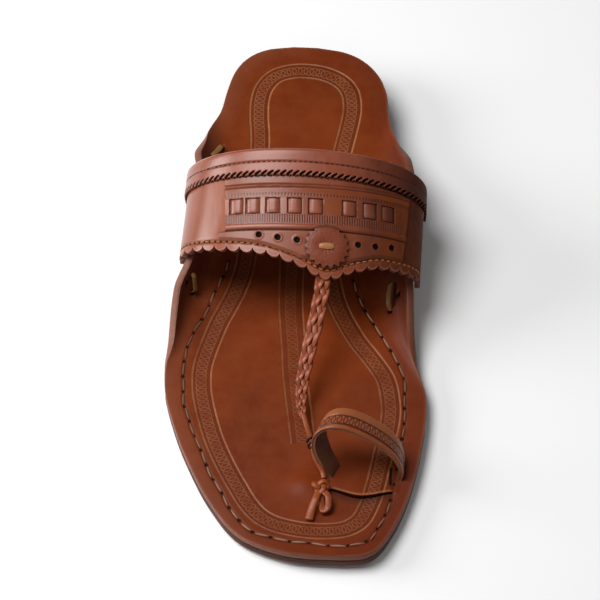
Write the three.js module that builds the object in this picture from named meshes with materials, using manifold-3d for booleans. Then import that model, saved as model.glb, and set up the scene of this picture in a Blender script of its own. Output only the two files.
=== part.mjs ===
// Kolhapuri sandal, right shoe, in millimetres: toes towards -Y, big-toe side +X, up +Z.
// A place along the shoe is its distance from the toe tip. The origin is on the floor, in the middle.
import * as THREE from 'three';
import { mergeVertices } from 'three/addons/utils/BufferGeometryUtils.js';
import Module from 'manifold-3d';

const wasm = await Module();
wasm.setup();

// Driving sizes
const LENGTH = 280;
const TOP_LEATHER = 3;
const SOLE_LEATHER = 4.2;
const GAP = 0.3;
const SOLE_TOP_FORE = 7.5;
const SOLE_TOP_HEEL = 19;
const SHANK_START = 130;
const SHANK_END = 212;
const TOE_SPRING = 1.8;
const TOE_SPRING_LENGTH = 30;
const HEEL_BREAST = 214;
const HEEL_BREAST_HOLLOW = 4;
const LIFT_COUNT = 3;
const LIFT_TAPER = 0.7;
const BAND_WALL = 2.4;

// Plan of the soles, from the toe tip back. The rim is the edge of the top leather, the fold is where an ear
// begins to turn up, rise is how far the rim stands above the flat, and sole is the edge of the outsole.
const PLAN = [
  { from: 0, rimL: 10, rimM: 24, foldL: 12, foldM: 22, riseL: 0, riseM: 0, soleL: 10, soleM: 24 },
  { from: 0.8, rimL: 2.2, rimM: 31.6, foldL: 5, foldM: 28, riseL: 0, riseM: 0, soleL: 2.2, soleM: 31.6 },
  { from: 2.5, rimL: -4.4, rimM: 35.7, foldL: -1, foldM: 32, riseL: 0, riseM: 0, soleL: -4.4, soleM: 35.7 },
  { from: 5, rimL: -11.2, rimM: 38.7, foldL: -7, foldM: 35, riseL: 0, riseM: 0, soleL: -11.2, soleM: 38.7 },
  { from: 9, rimL: -18.4, rimM: 41.5, foldL: -14, foldM: 38, riseL: 0, riseM: 0, soleL: -18.4, soleM: 41.5 },
  { from: 15.5, rimL: -25, rimM: 44.6, foldL: -21, foldM: 41, riseL: 0, riseM: 0, soleL: -25, soleM: 44.6 },
  { from: 22, rimL: -29.6, rimM: 47.3, foldL: -26, foldM: 43, riseL: 0, riseM: 0, soleL: -29.6, soleM: 47.3 },
  { from: 34, rimL: -36.8, rimM: 51, foldL: -33, foldM: 47, riseL: 0, riseM: 0, soleL: -36.8, soleM: 51 },
  { from: 47, rimL: -43, rimM: 53.9, foldL: -39, foldM: 49, riseL: 0, riseM: 0, soleL: -43, soleM: 53.9 },
  { from: 60, rimL: -48.4, rimM: 55.8, foldL: -44, foldM: 51, riseL: 0, riseM: 0, soleL: -48.4, soleM: 55.8 },
  { from: 73, rimL: -52.7, rimM: 57, foldL: -48, foldM: 52, riseL: 0, riseM: 0, soleL: -52.7, soleM: 57 },
  { from: 80, rimL: -54.7, rimM: 57.3, foldL: -49.6, foldM: 52, riseL: 0, riseM: 0, soleL: -54.7, soleM: 57.3 },
  { from: 88, rimL: -56.2, rimM: 57, foldL: -51, foldM: 51, riseL: 0, riseM: 0, soleL: -56.2, soleM: 57 },
  { from: 102, rimL: -57.3, rimM: 53.8, foldL: -51, foldM: 47, riseL: 1, riseM: 1, soleL: -56.2, soleM: 52.4 },
  { from: 112, rimL: -56.6, rimM: 51.9, foldL: -48.5, foldM: 43, riseL: 4, riseM: 4, soleL: -53, soleM: 47.6 },
  { from: 122, rimL: -56.3, rimM: 50.7, foldL: -45, foldM: 38, riseL: 8.5, riseM: 8.5, soleL: -49.2, soleM: 42 },
  { from: 134, rimL: -55.4, rimM: 50, foldL: -41, foldM: 32.5, riseL: 14, riseM: 14, soleL: -44.5, soleM: 36 },
  { from: 148, rimL: -50.2, rimM: 49, foldL: -37, foldM: 27, riseL: 20, riseM: 20, soleL: -39.5, soleM: 30.5 },
  { from: 162, rimL: -48.3, rimM: 48.6, foldL: -34.5, foldM: 25.5, riseL: 23, riseM: 23, soleL: -36.5, soleM: 28 },
  { from: 176, rimL: -47.8, rimM: 48.4, foldL: -33, foldM: 25, riseL: 23, riseM: 23, soleL: -34.6, soleM: 26.5 },
  { from: 190, rimL: -48.6, rimM: 48.2, foldL: -32, foldM: 25.2, riseL: 20, riseM: 20, soleL: -34, soleM: 26.5 },
  { from: 203, rimL: -50.4, rimM: 46.6, foldL: -32, foldM: 26.5, riseL: 15, riseM: 15, soleL: -34.5, soleM: 28 },
  { from: 212, rimL: -49.2, rimM: 44.2, foldL: -33, foldM: 28, riseL: 9.5, riseM: 9.5, soleL: -36, soleM: 30 },
  { from: 220, rimL: -47.2, rimM: 41, foldL: -35, foldM: 30, riseL: 5, riseM: 5, soleL: -38, soleM: 32.3 },
  { from: 230, rimL: -44, rimM: 37, foldL: -37, foldM: 32, riseL: 1.4, riseM: 1.4, soleL: -40, soleM: 34.2 },
  { from: 240, rimL: -40.6, rimM: 35, foldL: -37, foldM: 32, riseL: 0, riseM: 0, soleL: -40, soleM: 34.6 },
  { from: 251, rimL: -38.8, rimM: 34, foldL: -35, foldM: 31, riseL: 0, riseM: 0, soleL: -38.8, soleM: 34 },
  { from: 261, rimL: -36.6, rimM: 31.1, foldL: -33, foldM: 28, riseL: 0, riseM: 0, soleL: -36.6, soleM: 31.1 },
  { from: 268, rimL: -33.6, rimM: 27, foldL: -30, foldM: 24, riseL: 0, riseM: 0, soleL: -33.6, soleM: 27 },
  { from: 274, rimL: -28.4, rimM: 20.8, foldL: -25, foldM: 18, riseL: 0, riseM: 0, soleL: -28.4, soleM: 20.8 },
  { from: 278, rimL: -21, rimM: 12.6, foldL: -18, foldM: 10, riseL: 0, riseM: 0, soleL: -21, soleM: 12.6 },
  { from: 280, rimL: -10, rimM: 1, foldL: -8, foldM: -1, riseL: 0, riseM: 0, soleL: -10, soleM: 1 },
];

// Cross-sections of the instep band, each in a plane that leans back from the ridge of the foot. Along is the
// distance up the ridge from the toe edge, drop the depth from the ridge to where the side stands upright,
// and end the depth to the band's lower end.
const INSTEP = [
  { along: -14, ridgeX: 4, halfL: 58, halfM: 49, drop: 26, end: 31 },
  { along: 0, ridgeX: 3, halfL: 57, halfM: 49.5, drop: 28, end: 35 },
  { along: 24, ridgeX: 2, halfL: 54.6, halfM: 50.8, drop: 32.5, end: 41.5 },
  { along: 50, ridgeX: 1, halfL: 52, halfM: 51.5, drop: 37, end: 48 },
];
const RIDGE_TOE = { from: 133, up: 46 };
const RIDGE_HEEL = { from: 174, up: 67 };
const LEAN = THREE.MathUtils.degToRad(22);
const ARCH_POWER = 2.15;

// Edges of the band along the ridge, by the place across it: -1 is the lateral end, 0 the ridge, 1 the medial end.
const BAND_EDGES = [
  { across: -1, toe: 5, heel: 46 },
  { across: -0.75, toe: 4.6, heel: 46 },
  { across: -0.5, toe: 3, heel: 46.6 },
  { across: -0.25, toe: 0.6, heel: 47 },
  { across: -0.06, toe: -4, heel: 47 },
  { across: 0.13, toe: -10, heel: 46.6 },
  { across: 0.3, toe: -6, heel: 46 },
  { across: 0.5, toe: -2.6, heel: 45 },
  { across: 0.75, toe: -2.4, heel: 43.2 },
  { across: 1, toe: -2.4, heel: 42 },
];
const SCALLOP = { count: 26, depth: 2.4, fullness: 0.6, steps: 3 };
const BAND_ROWS = 3;
const BAND_ROW_SPREAD = 1.4;

// Overlays on the band
const BINDING = { reach: 0.985, wide: 11, thick: 1.1, teeth: 57, tooth: 1.2 };
const PANEL = { left: -0.46, right: 0.62, thick: 1, columns: 22, toeMost: -2.4, toeMargin: 3.4, heelMargin: 0.8 };
const PANEL_SEAM = 11.2;
const PANEL_ROWS = [
  { past: -1, raise: 0 },
  { past: 0, raise: 0 },
  { past: 0.3, raise: 0.8 },
  { past: 2.6, raise: 0.8 },
  { past: 3, raise: 0.1 },
  { past: 100, raise: 0.1 },
];
const WINDOW = { wide: 6.2, tall: 7, along: 22 };
const WINDOWS_AROUND = [-30.9, -23.4, -14.6, -5.2, 3.9, 18.5, 27.7, 36.3];
const PUNCHED = { radius: 1.25, sides: 8 };
const PUNCHED_HOLES = [
  { around: -20.6, along: 9 },
  { around: -12.4, along: 7.8 },
  { around: -4, along: 6.8 },
  { around: 22.4, along: 6.3 },
  { around: 30.2, along: 6.5 },
  { around: 37.8, along: 7.3 },
];
const CUTTER = { low: -1, high: 4 };
const ROSETTE = { radius: 9.6, teeth: 18, tooth: 0.9, thick: 1.6, around: 8.8, along: 4.4 };
const ROSETTE_PROFILE = [
  { part: 0, up: 0 },
  { part: 1, up: 0 },
  { part: 1, up: 0.7 },
  { part: 0.85, up: 1 },
  { part: 0.3, up: 1 },
  { part: 0, up: 1 },
];
const ROSETTE_STITCH = { wide: 5.6, tall: 2.4, thick: 0.7 };
const SMALL_CROWN = 0.4;
const SMALL_CELLS = 2;

// Toe loop: its front lip from the lateral foot over to the medial foot. Turn is how far the strap's width
// swings towards the big-toe side, in degrees. The feet stand in slots of the top leather, and between them
// the leather is slit along its front.
const TOE_LOOP = [
  { x: 20, up: 5, turn: 20, wide: 7 },
  { x: 18.6, up: 9, turn: 22, wide: 7.6 },
  { x: 14.6, up: 14.2, turn: 25, wide: 9 },
  { x: 11.6, up: 20.4, turn: 25, wide: 10.4 },
  { x: 12, up: 26, turn: 22, wide: 11.2 },
  { x: 16, up: 29, turn: 18, wide: 11.4 },
  { x: 22.2, up: 29, turn: 15, wide: 11.4 },
  { x: 30, up: 26.2, turn: 11, wide: 11.4 },
  { x: 38, up: 21.8, turn: 7, wide: 11.4 },
  { x: 43.8, up: 16.8, turn: 4, wide: 11 },
  { x: 46.4, up: 11.6, turn: 2, wide: 10 },
  { x: 45.8, up: 8, turn: 0, wide: 8.6 },
  { x: 45.4, up: 5, turn: 0, wide: 8 },
];
const LOOP_STEPS = 22;
const LOOP_FOOT_PART = 0.14;
const LOOP_FRONT = 40.5;
const LOOP_LEAN = 0.43;
const LOOP_THICK = 2.4;
const LOOP_SLIT = [
  { x: 18.4, from: 35.8 },
  { x: 31, from: 32.2 },
  { x: 43.4, from: 35.4 },
];
const SLIT = { wide: 0.8, steps: 4, top: 9.3 };
const SLOT_STEPS = 6;

// Plait from under the V tip to where it thins into the thong, and the thong on to the foot of the toe loop
const PLAIT = [
  { x: 10.2, from: 134, up: 41.6, wide: 6.4 },
  { x: 10.4, from: 124, up: 38, wide: 6.4 },
  { x: 8.6, from: 112, up: 31.6, wide: 6.4 },
  { x: 5.6, from: 98, up: 24.4, wide: 6 },
  { x: 3.6, from: 86, up: 18.8, wide: 5.4 },
  { x: 3.4, from: 76, up: 15, wide: 4.2 },
  { x: 4.8, from: 69, up: 13.4, wide: 2.6 },
];
const STRAND = { count: 3, waves: 4, steps: 32, sides: 5, swing: 0.28, rise: 0.12, wide: 0.26, thick: 0.17 };
const PLAIT_CORE = { steps: 18, sides: 6, wide: 0.3, thick: 0.16 };
const THONG = [
  { x: 4.4, from: 72, up: 13.8 },
  { x: 7.2, from: 62, up: 13.8 },
  { x: 9.4, from: 53.5, up: 16.5 },
  { x: 10.8, from: 48, up: 14.2 },
  { x: 14, from: 43, up: 11.4 },
  { x: 15.2, from: 39.4, up: 10.4 },
];
const THONG_CORD = { radius: 1.1, steps: 22, sides: 6 };
const KNOT = { x: 13.8, from: 34.6, up: 10.9, radius: 2.7, wide: 1.1, tall: 0.8 };
const KNOT_TAILS = [
  { x: 9.6, from: 18.5, up: 9.1, bend: -1 },
  { x: 15, from: 24, up: 9.6, bend: 2.6 },
];
const TAIL_CORD = { halfWide: 1.2, halfThick: 0.9, hump: 0.8, steps: 8, sides: 6 };

// Laces that tie the band's corners to the ears: the hole in the ear, and where the strip goes under the band
const EAR_LACES = [
  { side: -1, holeFrom: 140, holePart: 0.5, endFrom: 144, endPart: 0.88 },
  { side: 1, holeFrom: 135, holePart: 0.34, endFrom: 147, endPart: 0.56 },
  { side: -1, holeFrom: 217, holePart: 0.3, endFrom: 208, endPart: 0.66 },
  { side: 1, holeFrom: 208, holePart: 0.5, endFrom: 197, endPart: 0.72 },
];
const LACE = { widePart: 0.057, endTaper: 0.35, thick: 1, off: 0.8, steps: 6 };

// Colours of the leathers
const TAN = 0x8a4326;
const SADDLE = 0x73300f;
const EDGE = 0x5b3b30;
const BUFF = 0xa98044;

const leather = (color, roughness) => new THREE.MeshStandardMaterial({ color, roughness, metalness: 0 });

// A value from a table's column at a place, on a smooth curve that passes through every row
function follow(table, key, column, at) {
  const last = table.length - 1;
  const place = THREE.MathUtils.clamp(at, table[0][key], table[last][key]);
  let row = 0;
  while (row < last - 1 && place > table[row + 1][key]) row += 1;
  const slope = (a, b) => (table[b][column] - table[a][column]) / (table[b][key] - table[a][key]);
  const tangent = (i) => {
    if (i === 0) return slope(0, 1);
    if (i === last) return slope(last - 1, last);
    const before = slope(i - 1, i);
    const after = slope(i, i + 1);
    return before * after <= 0 ? 0 : (2 * before * after) / (before + after);
  };
  const span = table[row + 1][key] - table[row][key];
  const t = (place - table[row][key]) / span;
  const t2 = t * t;
  const t3 = t2 * t;
  return table[row][column] * (2 * t3 - 3 * t2 + 1) + tangent(row) * span * (t3 - 2 * t2 + t)
    + table[row + 1][column] * (3 * t2 - 2 * t3) + tangent(row + 1) * span * (t3 - t2);
}

const point = (x, from, up) => new THREE.Vector3(x, from - LENGTH / 2, up);
const steps = (count) => Array.from({ length: count + 1 }, (_, i) => i / count);

// Height of the foot bed, and how far the toe is sprung off the floor
function toeSpring(from) {
  const reach = Math.max(0, TOE_SPRING_LENGTH - from) / TOE_SPRING_LENGTH;
  return TOE_SPRING * reach * reach;
}

function footBed(from) {
  const ramp = THREE.MathUtils.smoothstep(from, SHANK_START, SHANK_END);
  return SOLE_TOP_FORE + (SOLE_TOP_HEEL - SOLE_TOP_FORE) * ramp + toeSpring(from);
}

// Closed body between two skins, each a list of rows of points, with a wall round their four borders
function slab(under, over) {
  const rows = under.length;
  const columns = under[0].length;
  const vertices = [...under.flat(), ...over.flat()];
  const index = [];
  const lower = (r, c) => r * columns + c;
  const upper = (r, c) => (rows + r) * columns + c;
  const quad = (a, b, c, d) => index.push(a, b, c, a, c, d);
  for (let r = 0; r < rows - 1; r += 1) {
    for (let c = 0; c < columns - 1; c += 1) {
      quad(upper(r, c), upper(r, c + 1), upper(r + 1, c + 1), upper(r + 1, c));
      quad(lower(r, c), lower(r + 1, c), lower(r + 1, c + 1), lower(r, c + 1));
    }
    quad(lower(r, 0), upper(r, 0), upper(r + 1, 0), lower(r + 1, 0));
    quad(lower(r, columns - 1), lower(r + 1, columns - 1), upper(r + 1, columns - 1), upper(r, columns - 1));
  }
  for (let c = 0; c < columns - 1; c += 1) {
    quad(lower(0, c), lower(0, c + 1), upper(0, c + 1), upper(0, c));
    quad(lower(rows - 1, c), upper(rows - 1, c), upper(rows - 1, c + 1), lower(rows - 1, c + 1));
  }
  const geometry = new THREE.BufferGeometry().setFromPoints(vertices);
  geometry.setIndex(index);
  return geometry;
}

// Boolean joins and cuts
function solid(geometry) {
  const bare = geometry.clone();
  bare.deleteAttribute('normal');
  bare.deleteAttribute('uv');
  const merged = mergeVertices(bare, 1e-4);
  const mesh = new wasm.Mesh({
    numProp: 3,
    vertProperties: new Float32Array(merged.attributes.position.array),
    triVerts: new Uint32Array(merged.index.array),
  });
  return new wasm.Manifold(mesh);
}

function surface(manifold) {
  const mesh = manifold.getMesh();
  const geometry = new THREE.BufferGeometry();
  geometry.setAttribute('position', new THREE.BufferAttribute(new Float32Array(mesh.vertProperties), 3));
  geometry.setIndex(new THREE.BufferAttribute(new Uint32Array(mesh.triVerts), 1));
  return geometry;
}

const join = (first, ...others) => others.reduce((sum, next) => sum.add(next), first);
const cut = (first, ...others) => others.reduce((rest, next) => rest.subtract(next), first);

// The body without the small pockets that a join may have closed inside it
function withoutPockets(manifold) {
  const shells = manifold.decompose();
  return shells.reduce((largest, shell) => (shell.volume() > largest.volume() ? shell : largest));
}

// Underside of the top leather: part runs from -1 at the lateral rim to 1 at the medial rim, and the ears are
// the parts beyond EAR_PART on each side
const EAR_PART = 0.5;

function topLeatherUnder(from, part) {
  const bed = footBed(from) - TOP_LEATHER;
  const foldL = follow(PLAN, 'from', 'foldL', from);
  const foldM = follow(PLAN, 'from', 'foldM', from);
  if (Math.abs(part) <= EAR_PART) {
    const middle = (part / EAR_PART + 1) / 2;
    return point(foldL + (foldM - foldL) * middle, from, bed);
  }
  const side = part < 0 ? 'L' : 'M';
  const fold = part < 0 ? foldL : foldM;
  const reach = follow(PLAN, 'from', `rim${side}`, from) - fold;
  const rise = follow(PLAN, 'from', `rise${side}`, from);
  const bend = 0.5 + 0.42 * Math.min(1, rise / Math.abs(reach));
  const t = (Math.abs(part) - EAR_PART) / (1 - EAR_PART);
  return point(fold + reach * (2 * bend * t * (1 - t) + t * t), from, bed + rise * t * t);
}

// Outward direction of a skin at a place, from the cross of its two tangents
function skinNormal(skin, u, v, du, dv) {
  const across = skin(u + du, v).sub(skin(u - du, v));
  const along = skin(u, v + dv).sub(skin(u, v - dv));
  return across.cross(along).normalize();
}

const FLAT_END = 60;

function topLeather(from, part, lift) {
  const partStep = 0.004;
  const inner = THREE.MathUtils.clamp(part, -1 + partStep, 1 - partStep);
  const normal = Math.min(from, LENGTH - from) < FLAT_END ? new THREE.Vector3(0, 0, 1)
    : skinNormal((p, s) => topLeatherUnder(s, p), inner, from, partStep, 0.2);
  return topLeatherUnder(from, part).addScaledVector(normal, lift);
}

const SOLE_ROWS = [0, 0.7, 2.4, 5, 9, 13, 19, 26, 33, 43, 54, 63, 73, 81, 88, 95, 102, 108, 115, 122, 130, 139, 148,
  157, 167, 176, 184, 192, 200, 207, 214, 220, 226, 233, 241, 251, 258, 264, 269, 273, 276, 278.2, 279.4, 280];
const EAR_STEPS = 4;

function makeInsole() {
  const flat = [-EAR_PART, EAR_PART];
  const ear = steps(EAR_STEPS).slice(1).map((t) => EAR_PART + (1 - EAR_PART) * t);
  const parts = [...ear.map((p) => -p).reverse(), ...flat, ...ear];
  const under = SOLE_ROWS.map((from) => parts.map((part) => topLeather(from, part, 0)));
  const over = SOLE_ROWS.map((from) => parts.map((part) => topLeather(from, part, TOP_LEATHER)));
  const slots = [[0, LOOP_FOOT_PART], [1 - LOOP_FOOT_PART, 1]].map(([start, end]) => solid(
    makeLoopStrap(start, end, SLOT_STEPS, GAP),
  ));
  return surface(cut(solid(slab(under, over)), ...slots, solid(makeSlit())));
}

function makeSlit() {
  const row = (shift, up) => steps(SLIT.steps).map((t) => {
    const x = THREE.MathUtils.lerp(LOOP_SLIT[0].x, LOOP_SLIT.at(-1).x, t);
    return point(x, follow(LOOP_SLIT, 'x', 'from', x) + shift, up);
  });
  const shifts = [-SLIT.wide / 2, SLIT.wide / 2];
  return slab(shifts.map((shift) => row(shift, 0)), shifts.map((shift) => row(shift, SLIT.top)));
}

function soleEdge(from, side) {
  return follow(PLAN, 'from', side < 0 ? 'soleL' : 'soleM', from);
}

function makeOutsole() {
  const row = (from, up) => steps(2).map((t) => {
    const left = soleEdge(from, -1);
    return point(left + (soleEdge(from, 1) - left) * t, from, up);
  });
  const topOf = (from) => footBed(from) - TOP_LEATHER - GAP;
  return slab(
    SOLE_ROWS.map((from) => row(from, topOf(from) - SOLE_LEATHER)),
    SOLE_ROWS.map((from) => row(from, topOf(from))),
  );
}

// Stacked heel: each lift is the heel's plan behind the breast, a little smaller towards the floor
const HEEL_ROWS = 14;
const HEEL_ROW_SPREAD = 1.9;
const BREAST_STEPS = 8;
const LIFT_HEIGHT = (SOLE_TOP_HEEL - TOP_LEATHER - SOLE_LEATHER - GAP * (LIFT_COUNT + 1)) / LIFT_COUNT;

function makeLift(number) {
  const shrink = LIFT_TAPER * (LIFT_COUNT - number);
  const back = LENGTH - shrink;
  const places = steps(HEEL_ROWS).map((t) => (
    HEEL_BREAST + (back - HEEL_BREAST) * (1 - (1 - t) ** HEEL_ROW_SPREAD)
  ));
  const medial = places.map((s) => new THREE.Vector2(soleEdge(s + shrink, 1) - shrink, s));
  const lateral = places.map((s) => new THREE.Vector2(soleEdge(s + shrink, -1) + shrink, s));
  const breast = steps(BREAST_STEPS).slice(1, -1).map((t) => {
    const x = lateral[0].x + (medial[0].x - lateral[0].x) * t;
    return new THREE.Vector2(x, HEEL_BREAST + HEEL_BREAST_HOLLOW * Math.sin(Math.PI * t));
  });
  const outline = [...breast, ...medial, ...lateral.reverse()];
  const shape = new THREE.Shape(outline.map((p) => new THREE.Vector2(p.x, p.y - LENGTH / 2)));
  const geometry = new THREE.ExtrudeGeometry(shape, { depth: LIFT_HEIGHT, bevelEnabled: false });
  geometry.translate(0, 0, (number - 1) * (LIFT_HEIGHT + GAP));
  return geometry;
}

// One side of a band section: points from the ridge down to the band's end, with their running length
const ARCH_STEPS = 40;
const archCache = new Map();

function archSide(along, side) {
  const key = `${along.toFixed(3)} ${side}`;
  if (archCache.has(key)) return archCache.get(key);
  const half = follow(INSTEP, 'along', side < 0 ? 'halfL' : 'halfM', along);
  const drop = follow(INSTEP, 'along', 'drop', along);
  const end = follow(INSTEP, 'along', 'end', along);
  const samples = steps(ARCH_STEPS).map((t) => {
    const angle = t * Math.PI / 2;
    const out = half * Math.sin(angle) ** (2 / ARCH_POWER);
    return { out, depth: drop * (1 - Math.cos(angle) ** (2 / ARCH_POWER)), run: 0 };
  });
  samples.push({ out: half - 0.02 * (end - drop), depth: end, run: 0 });
  for (let i = 1; i < samples.length; i += 1) {
    const step = Math.hypot(samples[i].out - samples[i - 1].out, samples[i].depth - samples[i - 1].depth);
    samples[i].run = samples[i - 1].run + step;
  }
  archCache.set(key, samples);
  return samples;
}

const archLength = (along, side) => archSide(along, side).at(-1).run;

// Outer face of the bare band: across in -1..1 by length round the section, along in mm up the ridge
function bandFace(across, along) {
  const side = across < 0 ? -1 : 1;
  const samples = archSide(along, side);
  const run = Math.abs(across) * samples.at(-1).run;
  let i = 0;
  while (i < samples.length - 2 && run > samples[i + 1].run) i += 1;
  const t = (run - samples[i].run) / (samples[i + 1].run - samples[i].run);
  const out = THREE.MathUtils.lerp(samples[i].out, samples[i + 1].out, t);
  const depth = THREE.MathUtils.lerp(samples[i].depth, samples[i + 1].depth, t);
  const ridge = Math.hypot(RIDGE_HEEL.from - RIDGE_TOE.from, RIDGE_HEEL.up - RIDGE_TOE.up);
  const part = along / ridge;
  return point(
    follow(INSTEP, 'along', 'ridgeX', along) + side * out,
    THREE.MathUtils.lerp(RIDGE_TOE.from, RIDGE_HEEL.from, part) + depth * Math.sin(LEAN),
    THREE.MathUtils.lerp(RIDGE_TOE.up, RIDGE_HEEL.up, part) - depth * Math.cos(LEAN),
  );
}

function onBand(across, along, lift) {
  const step = 0.01;
  const normal = skinNormal(bandFace, THREE.MathUtils.clamp(across, -1 + step, 1 - step), along, step, 0.5);
  return bandFace(across, along).addScaledVector(normal, lift);
}

// The same, with the place across given in mm round the section from the ridge
function onBandRound(round, along, lift) {
  return onBand(round / archLength(along, round < 0 ? -1 : 1), along, lift);
}

const toeEdge = (across) => follow(BAND_EDGES, 'across', 'toe', across);
const heelEdge = (across) => follow(BAND_EDGES, 'across', 'heel', across);

function makeBand() {
  const columns = steps(SCALLOP.count * SCALLOP.steps);
  const scallop = (t) => SCALLOP.depth * Math.abs(Math.sin(Math.PI * SCALLOP.count * t)) ** SCALLOP.fullness;
  const skin = (lift) => steps(BAND_ROWS).map((rowPart, row) => columns.map((t) => {
    const across = -1 + 2 * t;
    const toe = toeEdge(across) + SCALLOP.depth;
    const along = row === 0 ? toe - scallop(t) : toe + (heelEdge(across) - toe) * rowPart ** BAND_ROW_SPREAD;
    return onBand(across, along, lift);
  }));
  return slab(skin(-BAND_WALL), skin(0));
}

function makeBinding() {
  const columns = steps(BINDING.teeth * 2);
  const skin = (lift) => [0, 1].map((rowPart, row) => columns.map((t, i) => {
    const across = BINDING.reach * (2 * t - 1);
    const heel = heelEdge(across);
    const toe = heel - BINDING.wide;
    const tooth = row === 0 && i % 2 === 1 ? BINDING.tooth : 0;
    return onBand(across, toe - tooth + (heel - toe) * rowPart, lift);
  }));
  return slab(skin(GAP), skin(GAP + BINDING.thick));
}

// Panel on the band between its toe seam and the binding, with a raised strip, windows and punched holes
const panelToe = (across) => Math.max(toeEdge(across), PANEL.toeMost) + SCALLOP.depth + PANEL.toeMargin;
const panelHeel = (across) => heelEdge(across) - BINDING.wide - BINDING.tooth - PANEL.heelMargin;

function panelSkin(lift, raised) {
  return PANEL_ROWS.map((row, i) => steps(PANEL.columns).map((t) => {
    const across = PANEL.left + (PANEL.right - PANEL.left) * t;
    const along = i === 0 ? panelToe(across) : Math.min(PANEL_SEAM + row.past, panelHeel(across));
    return onBand(across, along, lift + (raised ? row.raise : 0));
  }));
}

// Small block that lies on the band at a place, in mm round it and along it
function bandBlock(round, along, wide, tall, low, high, cells) {
  const skin = (lift, crown) => steps(cells).map((v) => steps(cells).map((u) => {
    const rise = crown * Math.sin(Math.PI * u) * Math.sin(Math.PI * v);
    return onBandRound(round + (u - 0.5) * wide, along + (v - 0.5) * tall, lift + rise);
  }));
  return slab(skin(low, 0), skin(high, cells > 1 ? SMALL_CROWN : 0));
}

function bandPeg(round, along, radius, sides, low, high) {
  const peg = new THREE.CylinderGeometry(radius, radius, 1, sides);
  return onBandShape(peg, round, along, (y) => THREE.MathUtils.lerp(low, high, y + 0.5));
}

// Lays a shape that stands on its XZ plane onto the band: X goes round, Z along, and Y becomes the lift
function onBandShape(geometry, round, along, liftOf) {
  const laid = geometry.clone();
  laid.deleteAttribute('normal');
  laid.deleteAttribute('uv');
  const shape = mergeVertices(laid, 1e-4);
  const position = shape.attributes.position;
  for (let i = 0; i < position.count; i += 1) {
    const place = onBandRound(round + position.getX(i), along - position.getZ(i), liftOf(position.getY(i)));
    position.setXYZ(i, place.x, place.y, place.z);
  }
  return shape;
}

function makePanel() {
  const body = solid(slab(panelSkin(GAP, false), panelSkin(GAP + PANEL.thick, true)));
  const windows = WINDOWS_AROUND.map((around) => solid(
    bandBlock(around, WINDOW.along, WINDOW.wide, WINDOW.tall, CUTTER.low, CUTTER.high, 1),
  ));
  const peg = (around, along, radius, sides) => solid(
    bandPeg(around, along, radius, sides, CUTTER.low, CUTTER.high),
  );
  const holes = PUNCHED_HOLES.map((hole) => peg(hole.around, hole.along, PUNCHED.radius, PUNCHED.sides));
  const disc = peg(ROSETTE.around, ROSETTE.along, ROSETTE.radius + GAP, ROSETTE.teeth);
  return surface(cut(body, ...windows, ...holes, disc));
}

function makeLaceSquare(around) {
  return bandBlock(around, WINDOW.along, WINDOW.wide - 2 * GAP, WINDOW.tall - 2 * GAP,
    GAP, GAP + PANEL.thick, SMALL_CELLS);
}

// Toothed disc, turned as a lathe form and then laid on the band
function makeRosette() {
  const radius = ROSETTE.radius;
  const profile = ROSETTE_PROFILE.map((row) => new THREE.Vector2(radius * row.part, row.up));
  const lathe = new THREE.LatheGeometry(profile, ROSETTE.teeth * 2);
  lathe.deleteAttribute('normal');
  lathe.deleteAttribute('uv');
  const disc = mergeVertices(lathe, 1e-4);
  const position = disc.attributes.position;
  for (let i = 0; i < position.count; i += 1) {
    const x = position.getX(i);
    const z = position.getZ(i);
    const turn = Math.round(Math.atan2(x, z) / (Math.PI / ROSETTE.teeth));
    if (Math.hypot(x, z) > radius * 0.95 && Math.abs(turn % 2) === 1) {
      const inward = 1 - ROSETTE.tooth / radius;
      position.setX(i, x * inward);
      position.setZ(i, z * inward);
    }
  }
  return onBandShape(disc, ROSETTE.around, ROSETTE.along, (y) => GAP + ROSETTE.thick * y);
}

function makeRosetteStitch() {
  const low = 2 * GAP + ROSETTE.thick;
  return bandBlock(ROSETTE.around, ROSETTE.along, ROSETTE_STITCH.wide, ROSETTE_STITCH.tall,
    low, low + ROSETTE_STITCH.thick, SMALL_CELLS);
}

// Solid swept along a curve, with a round or flat section whose size may change on the way
function sweep(curve, count, sides, halfWide, halfThick) {
  const rings = steps(count).map((t) => {
    const centre = curve.getPoint(t);
    const tangent = curve.getTangent(t);
    const wide = new THREE.Vector3(-tangent.y, tangent.x, 0).normalize();
    const up = new THREE.Vector3().crossVectors(tangent, wide).normalize();
    return Array.from({ length: sides }, (_, i) => {
      const angle = (i / sides) * 2 * Math.PI;
      return centre.clone()
        .addScaledVector(wide, Math.cos(angle) * halfWide(t))
        .addScaledVector(up, Math.sin(angle) * halfThick(t));
    });
  });
  return loft(rings);
}

// Closed body through a list of rings of points, with a flat cap at each end
function loft(rings) {
  const sides = rings[0].length;
  const vertices = rings.flat();
  const index = [];
  for (let r = 0; r < rings.length - 1; r += 1) {
    for (let i = 0; i < sides; i += 1) {
      const next = (i + 1) % sides;
      const a = r * sides + i;
      const b = r * sides + next;
      index.push(a, b, b + sides, a, b + sides, a + sides);
    }
  }
  const last = (rings.length - 1) * sides;
  for (let i = 1; i < sides - 1; i += 1) {
    index.push(0, i + 1, i);
    index.push(last, last + i, last + i + 1);
  }
  const geometry = new THREE.BufferGeometry().setFromPoints(vertices);
  geometry.setIndex(index);
  return geometry;
}

const curveOf = (table) => new THREE.CatmullRomCurve3(table.map((row) => point(row.x, row.from, row.up)));

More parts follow.
